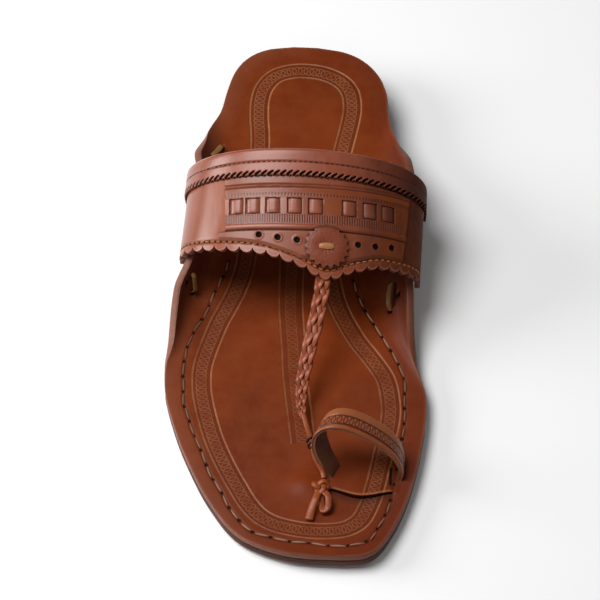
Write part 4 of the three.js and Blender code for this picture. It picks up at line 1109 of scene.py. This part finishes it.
# Ornament panel. A thin overlay glued on the band and tooled by hand: a raised strip, a comb of fine slits,
# windows for the woven lace, a row of short ticks, two creases, and six round holes beside the rosette.
PANEL = {"left": -0.46, "tongue": 0.045, "right": 0.62, "thick": 1.0, "toe_most": -6.0, "toe_margin": 4.8,
         "heel_margin": 0.8}
SEAM_ALONG = 11.2
STRIP = {"start": 11.5, "end": 13.9, "raise": 0.75}
COMB = {"start": 14.4, "end": 18.0, "pitch": 1.08, "half": 0.22, "deep": 0.03, "reach": 44}
WINDOW = {"wide": 6.5, "tall": 7.0, "along": 22.0}
WINDOWS_AROUND = (-30.9, -23.4, -14.6, -5.2, 3.9, 18.5, 27.7, 36.3)
TICKS = {"along": 27.1, "tall": 0.6, "pitch": 1.4, "half": 0.25}
CREASES = (30.3, 31.6)
PUNCHED = ((-20.6, 9), (-12.4, 7.8), (-4, 6.8), (22.4, 6.3), (30.2, 6.5), (37.8, 7.3))
PUNCH_RADIUS = 1.3
ROSETTE = {"radius": 9.9, "teeth": 18, "tooth": 1.35, "thick": 1.6, "around": 8.8, "along": 4.4}

panel_up = np.linspace(0, 1, 124)[:, None]
panel_part = np.linspace(0, 1, 330)[None, :].repeat(len(panel_up), 0)
panel_across = PANEL["left"] + (PANEL["right"] - PANEL["left"]) * panel_part
panel_toe = np.maximum(toe_edge(panel_across), PANEL["toe_most"]) + PANEL["toe_margin"]
panel_heel = heel_edge(panel_across) - BINDING["wide"] - BINDING["tooth"] - PANEL["heel_margin"]
panel_along = panel_toe + (panel_heel - panel_toe) * panel_up
panel_left = PANEL["left"] - PANEL["tongue"] * smooth((SEAM_ALONG + 0.4 - panel_along) / 0.8)
panel_across = panel_left + (PANEL["right"] - panel_left) * panel_part
size_l, size_m = (np.interp(panel_along, arch_along, arch_lengths[s]) for s in (-1, 1))
panel_around = panel_across * np.where(panel_across < 0, size_l, size_m)
strip_part = (panel_along - STRIP["start"]) / (STRIP["end"] - STRIP["start"])
raised = STRIP["raise"] * np.sqrt(np.clip(1 - (2 * strip_part - 1) ** 2, 0, 1))
cut = 0.5 * np.exp(-((panel_along - SEAM_ALONG) / 0.28) ** 2)
in_comb = smooth((panel_along - COMB["start"]) / 0.3) * smooth((COMB["end"] - panel_along) / 0.3)
in_comb = in_comb * (panel_around < COMB["reach"])
raised -= COMB["deep"] * (1 - np.cos(2 * math.pi * panel_around / COMB["pitch"])) * in_comb
in_ticks = smooth((TICKS["tall"] + 0.15 - np.abs(panel_along - TICKS["along"])) / 0.3)
raised -= COMB["deep"] * (1 - np.cos(2 * math.pi * panel_around / TICKS["pitch"])) * in_ticks
for crease in CREASES:
    raised -= 0.3 * np.exp(-((panel_along - crease) / 0.3) ** 2)
raised += 0.22 * np.exp(-((panel_along - sum(CREASES) / 2) / 0.45) ** 2)
for around in WINDOWS_AROUND:
    off_side = np.abs(panel_around - around) - WINDOW["wide"] / 2
    off_end = np.abs(panel_along - WINDOW["along"]) - WINDOW["tall"] / 2
    cut = np.maximum(cut, smooth((0.15 - np.maximum(off_side, off_end)) / 0.3))
punch_away = np.full(panel_along.shape, FAR_OFF)
for around, along in PUNCHED:
    punch_away = np.minimum(punch_away, np.hypot(panel_around - around, panel_along - along))
punched = smooth((PUNCH_RADIUS + 0.12 - punch_away) / 0.3)
cut = np.maximum(cut, punched)
raised += 0.14 * np.exp(-((punch_away - PUNCH_RADIUS - 0.5) / 0.4) ** 2)
end_fall = smooth((panel_across - panel_left) / 0.006) * smooth((PANEL["right"] - panel_across) / 0.006)
toe_fall = smooth((panel_along - panel_toe) / 1.3)
panel_lift = GAP + (PANEL["thick"] + raised - 0.86 * cut) * (0.35 + 0.65 * end_fall) * (0.1 + 0.9 * toe_fall)
off_rosette = np.hypot(panel_around - ROSETTE["around"], panel_along - ROSETTE["along"])
panel_skin = band_leather(
    "panel_tan", base="#85432d", dark="#71361d", light="#9f5f4a", roughness=0.34, coat=0.6)
panel_far = panel_skin.number("across")
panel_x, panel_y = panel_skin.number("place", "X"), panel_skin.number("place", "Y")
panel_streaks = streaks_on(panel_skin)
# Painted shade towards the medial end of the panel, in streaks that are partly the leather's own tone.
panel_skin.paint(panel_far.above(0.44, 0.12) * (panel_streaks * 0.6 + 0.3), "#74340f")
plain_field = abs(panel_x - 11.2).below(4.0, 0.8) * abs(panel_y - WINDOW["along"]).below(3.4, 0.8)
panel_skin.paint(plain_field * (panel_streaks * 0.4 + 0.4), "#7f3f1c")
panel_skin.paint(abs(panel_y - 29.1).below(0.9, 0.5) * 0.6, "#7d3815")
in_window_row = abs(panel_y - WINDOW["along"]).below(WINDOW["tall"] / 2, 0.4)
on_strip = panel_y.above(STRIP["start"] + 0.6, 0.8) * panel_y.below(STRIP["end"] - 0.3, 0.6)
# Painted highlight: the window row and the raised strip paler on the lateral side, where the light falls.
panel_skin.paint((in_window_row + on_strip) * panel_x.below(-6, 12) * 0.6, "#a8705f")


def scored(row, start, end):
    """Row of short fine lines across the panel's length, between two distances up the band."""
    side = panel_x + panel_skin.grain["Mottle"] * 0.12
    return (abs(side.sum("FLOORED_MODULO", row["pitch"]) - row["pitch"] / 2).below(row["half"], 0.16)
            * panel_y.above(start, 0.3) * panel_y.below(end, 0.3))


comb_lines = scored(COMB, COMB["start"], COMB["end"]) * panel_x.below(COMB["reach"], 0.5)
tick_lines = scored(TICKS, TICKS["along"] - TICKS["tall"], TICKS["along"] + TICKS["tall"])
panel_skin.paint(panel_skin.number("cut").above(0.4, 0.4) * 0.8, "#3f1c10")
panel_skin.press(comb_lines, 0.2)
panel_skin.paint(abs(panel_y - SEAM_ALONG).below(0.32, 0.3) * 0.75, "#4a2417")
panel_skin.paint(comb_lines * 0.85, "#4f281c")
panel_skin.paint(tick_lines * 0.85, "#3a1a10")
for crease in CREASES:
    panel_skin.paint(abs(panel_y - crease).below(0.22, 0.25) * 0.6, "#4a2417")
# Painted shadow: a dark ring on the panel round the rosette, under its raised rim.
panel_skin.paint(panel_skin.number("off_rosette").below(9.7, 1.0) * 0.6, "#2c130b")
# Painted shade: the punched holes painted black.
panel_skin.paint_hole_shade(panel_skin.number("off_punch").below(PUNCH_RADIUS, 0.25), 0)
panel = sheet("ornament_overlay", on_band(panel_across, panel_along, panel_lift),
              on_band(panel_across, panel_along, 0.05), 0.06, [panel_skin.close(), cut_edge, cut_edge])
store_on_face(panel, "cut", cut)
store_on_face(panel, "across", panel_across)
store_on_face(panel, "off_rosette", off_rosette, FAR_OFF)
store_on_face(panel, "off_punch", punch_away, FAR_OFF)
store_on_face(panel, "place", in_pairs(panel_around, panel_along), -FAR_OFF)
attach(panel, "root")
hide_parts("ornament_panel")


# Woven lace. A glossy flat lace goes in and out through the windows, and shows in each as a small crowned
# square that dives under the panel at both sides.
lace_skin = band_leather(
    "lace_tan", base="#8f4e39", dark="#7b3c25", light="#a96b58", roughness=0.33, coat=0.6)
lace_skin.paint(lace_skin.number("out").above(0.93, 0.1) * 0.7, "#552817")
lace_material = lace_skin.close()
for number, around in enumerate(WINDOWS_AROUND, 1):
    u, v = np.meshgrid(np.linspace(-1, 1, 25), np.linspace(-1, 1, 21))
    lace_around = around + u * (WINDOW["wide"] / 2 - 0.25)
    lace_along = WINDOW["along"] + v * (WINDOW["tall"] / 2 - 0.3)
    crown = 0.3 + 0.95 * (1 - np.abs(u) ** 3) - 0.18 * np.abs(v) ** 5
    where = part_across(lace_around, lace_along)
    lace = sheet(f"lace_{number}", on_band(where, lace_along, crown + 0.15), on_band(where, lace_along, 0.1),
                 0.05, [lace_material] * 3)
    store_on_face(lace, "out", np.maximum(np.abs(u), np.abs(v)), 1.0)
    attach(lace, "root")
    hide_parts(f"lace_square_{number}")


# Rosette. A disc of the band's leather with a pinked rim, over the point of the V. A short lace through two
# holes in its middle holds it down.
turns = np.linspace(0, 2 * math.pi, ROSETTE["teeth"] * 12 + 1)
radii = np.concatenate([np.linspace(0.02, 0.8, 14), [0.86, 0.91, 0.95, 0.98, 1.0]])
tooth_wave = np.abs(((turns * ROSETTE["teeth"] / (2 * math.pi)) % 1) * 2 - 1)
tooth_cut = ROSETTE["tooth"] * 1.25 * tooth_wave * smooth((radii - 0.7) / 0.3)[:, None]
reach = radii[:, None] * (ROSETTE["radius"] - tooth_cut)
disc_side, disc_ahead = reach * np.sin(turns), reach * np.cos(turns)
disc_along = ROSETTE["along"] + disc_ahead
disc_where = part_across(ROSETTE["around"] + disc_side, disc_along)
ring_groove = np.exp(-((radii - 0.78) / 0.03) ** 2)[:, None]
hollow = np.exp(-(disc_side / 4.2) ** 2 - (disc_ahead / 2.4) ** 2)
dome = ROSETTE["thick"] + 0.75 - 0.45 * radii[:, None] ** 3 - 0.12 * ring_groove - 0.6 * hollow
dome = dome + 0.1 * hollow * np.cos(turns * 11)
dome = dome + 0.12 * np.cos(turns * ROSETTE["teeth"]) * smooth((radii - 0.75) / 0.25)[:, None]
rosette_skin = band_leather(
    "rosette_tan", base="#7f3c26", dark="#6a2c16", light="#995640", roughness=0.42, coat=0.3,
    pores=620, depth=0.07)
rosette_skin.paint(rosette_skin.number("ring") * 0.3, "#4a2012")
rosette_edge = Leather("rosette_edge", "#6a3524", "#4a2014", "#8a5240", 0.6, 0.05, 700, 0.1).close()
rosette = sheet("rosette_disc", on_band(disc_where, disc_along, dome)[::-1],
                on_band(disc_where, disc_along, dome - ROSETTE["thick"])[::-1], 0.05,
                [rosette_skin.close(), rosette_edge, rosette_edge])
store_on_face(rosette, "ring", (ring_groove + 0 * disc_where)[::-1])
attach(rosette, "root")
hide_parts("rosette")

u, v = np.meshgrid(np.linspace(-1, 1, 25), np.linspace(-1, 1, 13))
stitch_around = ROSETTE["around"] + u * 3.5
stitch_along = ROSETTE["along"] + v * 1.4 * (1 - 0.45 * u**2)
stitch_crown = ROSETTE["thick"] + 0.2 + 1.15 * np.sqrt(np.clip(1 - u**4, 0, 1)) - 0.3 * v**2
where = part_across(stitch_around, stitch_along)
light_lace = Leather("rosette_lace", "#a86b40", "#87502c", "#c99868", 0.42, 0.3, 1400, 0.05).close()
rosette_lace = sheet("rosette_lace", on_band(where, stitch_along, stitch_crown),
                     on_band(where, stitch_along, ROSETTE["thick"] - 0.1), 0.05, [light_lace] * 3)
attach(rosette_lace, "root")
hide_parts("rosette_stitch")


# Plait. Five flat laces of polished leather, plaited tight from under the V. They thin out towards the toes,
# where they go on as one thong.
PLAIT = columns(
    "part x at up wide",
    (0, 10.2, 134, 41.6, 6.4), (1, 10.4, 124, 38, 6.4), (2, 8.6, 112, 31.6, 6.4), (3, 5.6, 98, 24.4, 6),
    (4, 3.6, 86, 18.8, 5.4), (5, 3.4, 76, 15, 4.2), (6, 4.8, 69, 13.4, 2.6))
STRANDS = {"count": 5, "waves": 2.1, "swing": 0.37, "rise": 0.1, "wide": 0.2, "thick": 0.1}
PLAIT_STEPS = 300


def ribbon(name, route, half_wide, half_thick, material, sides=14, square=0.75, guide=(0, 0, 1.0)):
    """Lace along a route of points, with a rounded flat section and closed ends. Its wide side is square to
    the guide."""
    heading = unit(np.gradient(route, axis=0))
    wide = unit(np.cross(np.broadcast_to(guide, route.shape), heading))
    up = unit(np.cross(heading, wide))
    half_wide = np.broadcast_to(half_wide, len(route)).astype(float)
    half_thick = np.broadcast_to(half_thick, len(route)).astype(float)
    run = np.arange(len(route))
    close = np.minimum(1, np.minimum(run, run[::-1]) / 2.5)
    close = np.sqrt(1 - (1 - close) ** 2) * 0.96 + 0.04
    turn = np.linspace(0, 2 * math.pi, sides, endpoint=False)
    side = np.sign(np.cos(turn)) * np.abs(np.cos(turn)) ** square
    rise = np.sign(np.sin(turn)) * np.abs(np.sin(turn)) ** square
    points = (route[:, None, :] + wide[:, None, :] * (half_wide * close)[:, None, None] * side[None, :, None]
              + up[:, None, :] * (half_thick * close)[:, None, None] * rise[None, :, None])
    index = np.arange(len(route) * sides).reshape(len(route), sides)
    nxt = np.roll(index, -1, axis=1)
    faces = np.stack([index[:-1], nxt[:-1], nxt[1:], index[1:]], -1).reshape(-1, 4).tolist()
    faces.append(index[0, ::-1].tolist())
    faces.append(index[-1].tolist())
    piece = mesh_piece(name, points, faces, [material], sharp=60)
    store(piece, "side", np.tile(np.abs(np.cos(turn)), len(route)))
    return piece


spine = through(spot(PLAIT["x"], PLAIT["at"], PLAIT["up"]), PLAIT_STEPS)
plait_wide = follow(PLAIT, "wide", np.linspace(0, 6, PLAIT_STEPS))
spine_heading = unit(np.gradient(spine, axis=0))
spine_side = unit(np.cross(np.array([0, 0, 1.0]), spine_heading))
spine_up = unit(np.cross(spine_heading, spine_side))
plait_skin = band_leather(
    "plait_tan", base="#964a2e", dark="#803a1e", light="#b06c50", roughness=0.34, coat=0.6)
plait_skin.paint(plait_skin.number("side").above(0.62, 0.3) * 0.95, "#58230a")
plait_material = plait_skin.close()
for number in range(STRANDS["count"]):
    turn = 2 * math.pi * (STRANDS["waves"] * np.linspace(0, 1, PLAIT_STEPS) + number / STRANDS["count"])
    route = (spine + spine_side * (np.sin(turn) * plait_wide * STRANDS["swing"])[:, None]
             + spine_up * (np.sin((STRANDS["count"] - 1) * turn) * plait_wide * STRANDS["rise"])[:, None])
    strand = ribbon(f"plait_strand_{number + 1}", route, plait_wide * STRANDS["wide"],
                    plait_wide * STRANDS["thick"], plait_material)
    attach(strand, "root")
    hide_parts("upper")


# Thong. The end of the plait goes on as one round lace. It is wound twice round itself at the side of the toe
# loop, and knotted where it comes up at the loop's foot.
THONG = (
    (4.4, 72, 13.8), (7.2, 62, 13.8), (9.4, 53.5, 16.5), (10.8, 48, 14.2), (14, 43, 11.4), (15.2, 39.4, 10.4))
WINDING = {"turns": 2.4, "radius": 1.75, "slant": 0.25}
KNOT = {"x": 13.8, "at": 34.6, "up": 11.0, "size": 1.05, "radius": 1.15}
thong_skin = band_leather(
    "thong_tan", base="#8c401d", dark="#682b10", light="#ac663c", roughness=0.38, coat=0.6)
thong_material = thong_skin.close()
dark_lace = Leather("dark_lace", "#4f2617", "#331710", "#74402b", 0.45, 0.15, 1500, 0.05).close()
thong = ribbon("thong", through([spot(*place) for place in THONG], 90), 1.15, 1.05, thong_material)
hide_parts("upper")
wind_turn = np.linspace(0, WINDING["turns"] * 2 * math.pi, 90)
wind = through([spot(8.6, 56.5, 16.2), spot(10.0, 51, 15.8)], 90) + np.stack([
    WINDING["radius"] * np.cos(wind_turn), WINDING["slant"] * np.cos(wind_turn),
    WINDING["radius"] * np.sin(wind_turn)], -1)
winding = ribbon("thong_winding", wind, 0.7, 0.55, dark_lace, guide=(0, 1.0, 0.1))
knot_turn = np.linspace(0, 2 * math.pi, 120)
knot_route = spot(KNOT["x"], KNOT["at"], KNOT["up"]) + KNOT["size"] * np.stack([
    np.sin(knot_turn) + 2 * np.sin(2 * knot_turn), np.cos(knot_turn) - 2 * np.cos(2 * knot_turn),
    -1.0 * np.sin(3 * knot_turn) + 0.2], -1)
knot = ribbon("knot_turns", knot_route, KNOT["radius"], KNOT["radius"] * 0.8, thong_material)
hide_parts("knot")
tail_flat = ribbon("knot_tail_flat", through(
    [spot(13.4, 33, 11.2), spot(12, 28, 11.6), spot(10.4, 23, 9.9), spot(9.6, 18.4, 9.0)], 60),
    np.linspace(1.4, 1.8, 60), 0.65, thong_material)
tail_loop = ribbon("knot_tail_loop", through(
    [spot(14.4, 33, 11.4), spot(17.2, 29, 12.2), spot(17.4, 24.6, 10.6), spot(15.4, 23.4, 9.6),
     spot(14.6, 27, 9.5), spot(14.2, 31, 9.8)], 80), 1.4, 0.65, thong_material)
for piece in (thong, winding, knot, tail_flat, tail_loop):
    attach(piece, "root")


# Toe loop. A strap of the same leather, standing up round the big toe from one slot in the top leather to
# another. Its outer face is stamped with a band of rings between two ridges, and its cut edge is pale.
TOE_LOOP = columns(
    "part x up turn wide",
    (0, 20, 5, 20, 7), (1, 18.6, 9, 22, 7.6), (2, 14.6, 14.2, 25, 9), (3, 11.6, 20.4, 25, 10.4),
    (4, 12, 26, 22, 11.2), (5, 16, 29, 18, 11.4), (6, 22.2, 29, 15, 11.4), (7, 30, 26.2, 11, 11.4),
    (8, 38, 21.8, 7, 11.4), (9, 43.8, 16.8, 4, 11), (10, 46.4, 11.6, 2, 10), (11, 45.8, 8, 0, 8.6),
    (12, 45.4, 5, 0, 8))
LOOP = {"front": 40.5, "lean": 0.43, "inner": 0.6, "thick": 2.4, "ridge": 0.28, "wide": 11}
LOOP_STAMP = {"centre": 0.42, "half": 2.2}
LOOP_STEPS = 200
lip = through(np.column_stack([TOE_LOOP["x"], TOE_LOOP["up"]]), LOOP_STEPS)
lip_heading = unit(np.gradient(lip, axis=0))
lip_out = np.column_stack([-lip_heading[:, 1], lip_heading[:, 0]])
loop_turn = np.radians(follow(TOE_LOOP, "turn", np.linspace(0, 12, LOOP_STEPS)))
loop_wide = follow(TOE_LOOP, "wide", np.linspace(0, 12, LOOP_STEPS))


def on_loop(part, lift):
    """Points on the toe loop, from its front lip at part 0 to its rear lip at part 1."""
    reach = part[:, None] * loop_wide
    front = LOOP["front"] + LOOP["lean"] * (lip[:, 1] - TOE_LOOP["up"][0])
    return spot(lip[:, 0] + lip_out[:, 0] * lift + np.sin(loop_turn) * reach,
                front + np.cos(loop_turn) * reach,
                lip[:, 1] + lip_out[:, 1] * lift)


loop_part = np.linspace(0, 1, 48)
furrows = sum(np.exp(-((loop_part - centre) / 0.022) ** 2) for centre in (0.19, 0.645))
edge_round = 0.35 * (np.exp(-loop_part / 0.03) + np.exp(-(1 - loop_part) / 0.03))
loop_lift = (LOOP["thick"] - LOOP["ridge"] * furrows - edge_round)[:, None].repeat(LOOP_STEPS, 1)
loop_skin = Leather("loop_tan", "#8f4724", "#773518", "#a96640", 0.38, 0.3, 1100, 0.035)
loop_off, loop_lines, loop_rings = rolled(loop_skin, "stamp", LOOP_STAMP["half"])[1:]
loop_band = abs(loop_off).below(LOOP_STAMP["half"], 0.3)
loop_rings = loop_rings * loop_band
loop_skin.paint(loop_off.above(2.8, 0.5) * 0.35, "#96603c")
loop_skin.paint(loop_band * 0.12, "#45200f")
loop_skin.paint(loop_rings * 0.55, "#32150a")
loop_skin.paint(loop_lines * 0.7, "#2a1109")
loop_skin.press(loop_band - loop_rings, 0.25)
loop_skin.press(loop_lines, 0.3)
loop_edge = Leather("loop_edge", "#7f5139", "#633a28", "#a17055", 0.5, 0.15, 900, 0.06).close()
loop_inside = Leather("loop_inside", "#653925", "#4a2617", "#7d4d36", 0.6, 0.05, 800, 0.1).close()
loop_face = on_loop(loop_part, loop_lift)
loop_back = on_loop(loop_part, np.full(loop_lift.shape, LOOP["inner"]))
toe_loop = sheet("toe_loop", loop_face[:, ::-1], loop_back[:, ::-1], 0.25,
                 [loop_skin.close(), loop_edge, loop_inside])
loop_across = ((loop_part - LOOP_STAMP["centre"]) * LOOP["wide"])[:, None]
store_on_face(toe_loop, "stamp", in_pairs(run_along(loop_face[20]), loop_across)[:, ::-1], FAR_OFF)
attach(toe_loop, "root")
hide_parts("upper")


# Ear laces. Short strips of undyed buff leather that come up through a hole in an ear and lie on its inner
# face. They pass under the band, whose corners they tie down.
LACE_ENDS = ((144, 0.94), (147, 0.78), (208, 0.83), (197, 0.86))
for number, (hole, (end_at, end_part)) in enumerate(zip(EAR_HOLES, LACE_ENDS), 1):
    side, hole_at, hole_part = hole
    t = np.linspace(0, 1, 40)
    lace_at, lace_part = hole_at + (end_at - hole_at) * t, side * (hole_part + (end_part - hole_part) * t)
    lift = 2.2 + 2.6 * smooth(t / 0.22) + 0.4 * np.sin(math.pi * t) - 1.0 * smooth((t - 0.85) / 0.15)
    route = top_leather(lace_at, lace_part, lift)
    guide = top_leather_up(np.array(float(hole_at)), np.array(side * hole_part))
    ear_lace = ribbon(f"ear_lace_strip_{number}", route, 1.35 - 0.3 * np.abs(2 * t - 1), 0.5, buff_lace,
                      guide=guide)
    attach(ear_lace, "root")
    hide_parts(f"ear_lace_{number}")


# Floor. A plain pale sheet for the shoe to stand on, which isn't part of it.
floor_mesh = bpy.data.meshes.new("floor")
floor_mesh.from_pydata([(-3, -3, 0), (3, -3, 0), (3, 3, 0), (-3, 3, 0)], [], [(0, 1, 2, 3)])
floor = bpy.data.objects.new("floor", floor_mesh)
bpy.context.scene.collection.objects.link(floor)
paper = bpy.data.materials.new("paper")
paper.use_nodes = True
paper.node_tree.nodes["Principled BSDF"].inputs["Base Color"].default_value = (0.93, 0.93, 0.93, 1)
paper.node_tree.nodes["Principled BSDF"].inputs["Roughness"].default_value = 0.85
floor_mesh.materials.append(paper)


# Light. A large soft lamp nearly overhead, a little to the lateral side, and a lower one at that side give
# the highlights. Two weak ones fill the shadows, and the room is dim.
def lamp(name, place, aim, size, power, glossy=True):
    data = bpy.data.lights.new(name, "AREA")
    data.shape, data.size, data.energy = "DISK", size, power
    light = bpy.data.objects.new(name, data)
    light.location = place
    light.visible_glossy = glossy
    light.rotation_euler = (Vector(aim) - Vector(place)).to_track_quat("-Z", "Y").to_euler()
    bpy.context.scene.collection.objects.link(light)


lamp("key", (-0.5, 0.0, 1.18), (0, 0, 0.02), 0.8, 14)
lamp("left", (-1.05, 0.02, 0.46), (0, 0, 0.03), 0.6, 8.5)
lamp("front", (0.15, -1.3, 0.9), (0, 0, 0.02), 0.7, 2, glossy=False)
lamp("right", (0.9, 0.4, 0.8), (0, 0, 0.03), 0.6, 1, glossy=False)
world = bpy.data.worlds.new("room")
world.use_nodes = True
world.node_tree.nodes["Background"].inputs["Color"].default_value = (1, 1, 1, 1)
world.node_tree.nodes["Background"].inputs["Strength"].default_value = 0.07
bpy.context.scene.world = world
bpy.context.scene.view_settings.view_transform = "Standard"


# Camera. It stands where the photograph was taken from, 51 degrees up in front of the toes and a little to
# the medial side, and is turned to hold the one shoe.
camera_data = bpy.data.cameras.new("camera")
camera_data.sensor_width = 36
camera_data.lens = 262
camera = bpy.data.objects.new("camera", camera_data)
camera.location = (0.060, -1.2174, 1.5007)
camera_aim = Vector((0.0, -0.004, 0.012))
camera.rotation_euler = (camera_aim - camera.location).to_track_quat("-Z", "Y").to_euler()
bpy.context.scene.collection.objects.link(camera)
bpy.context.scene.camera = camera
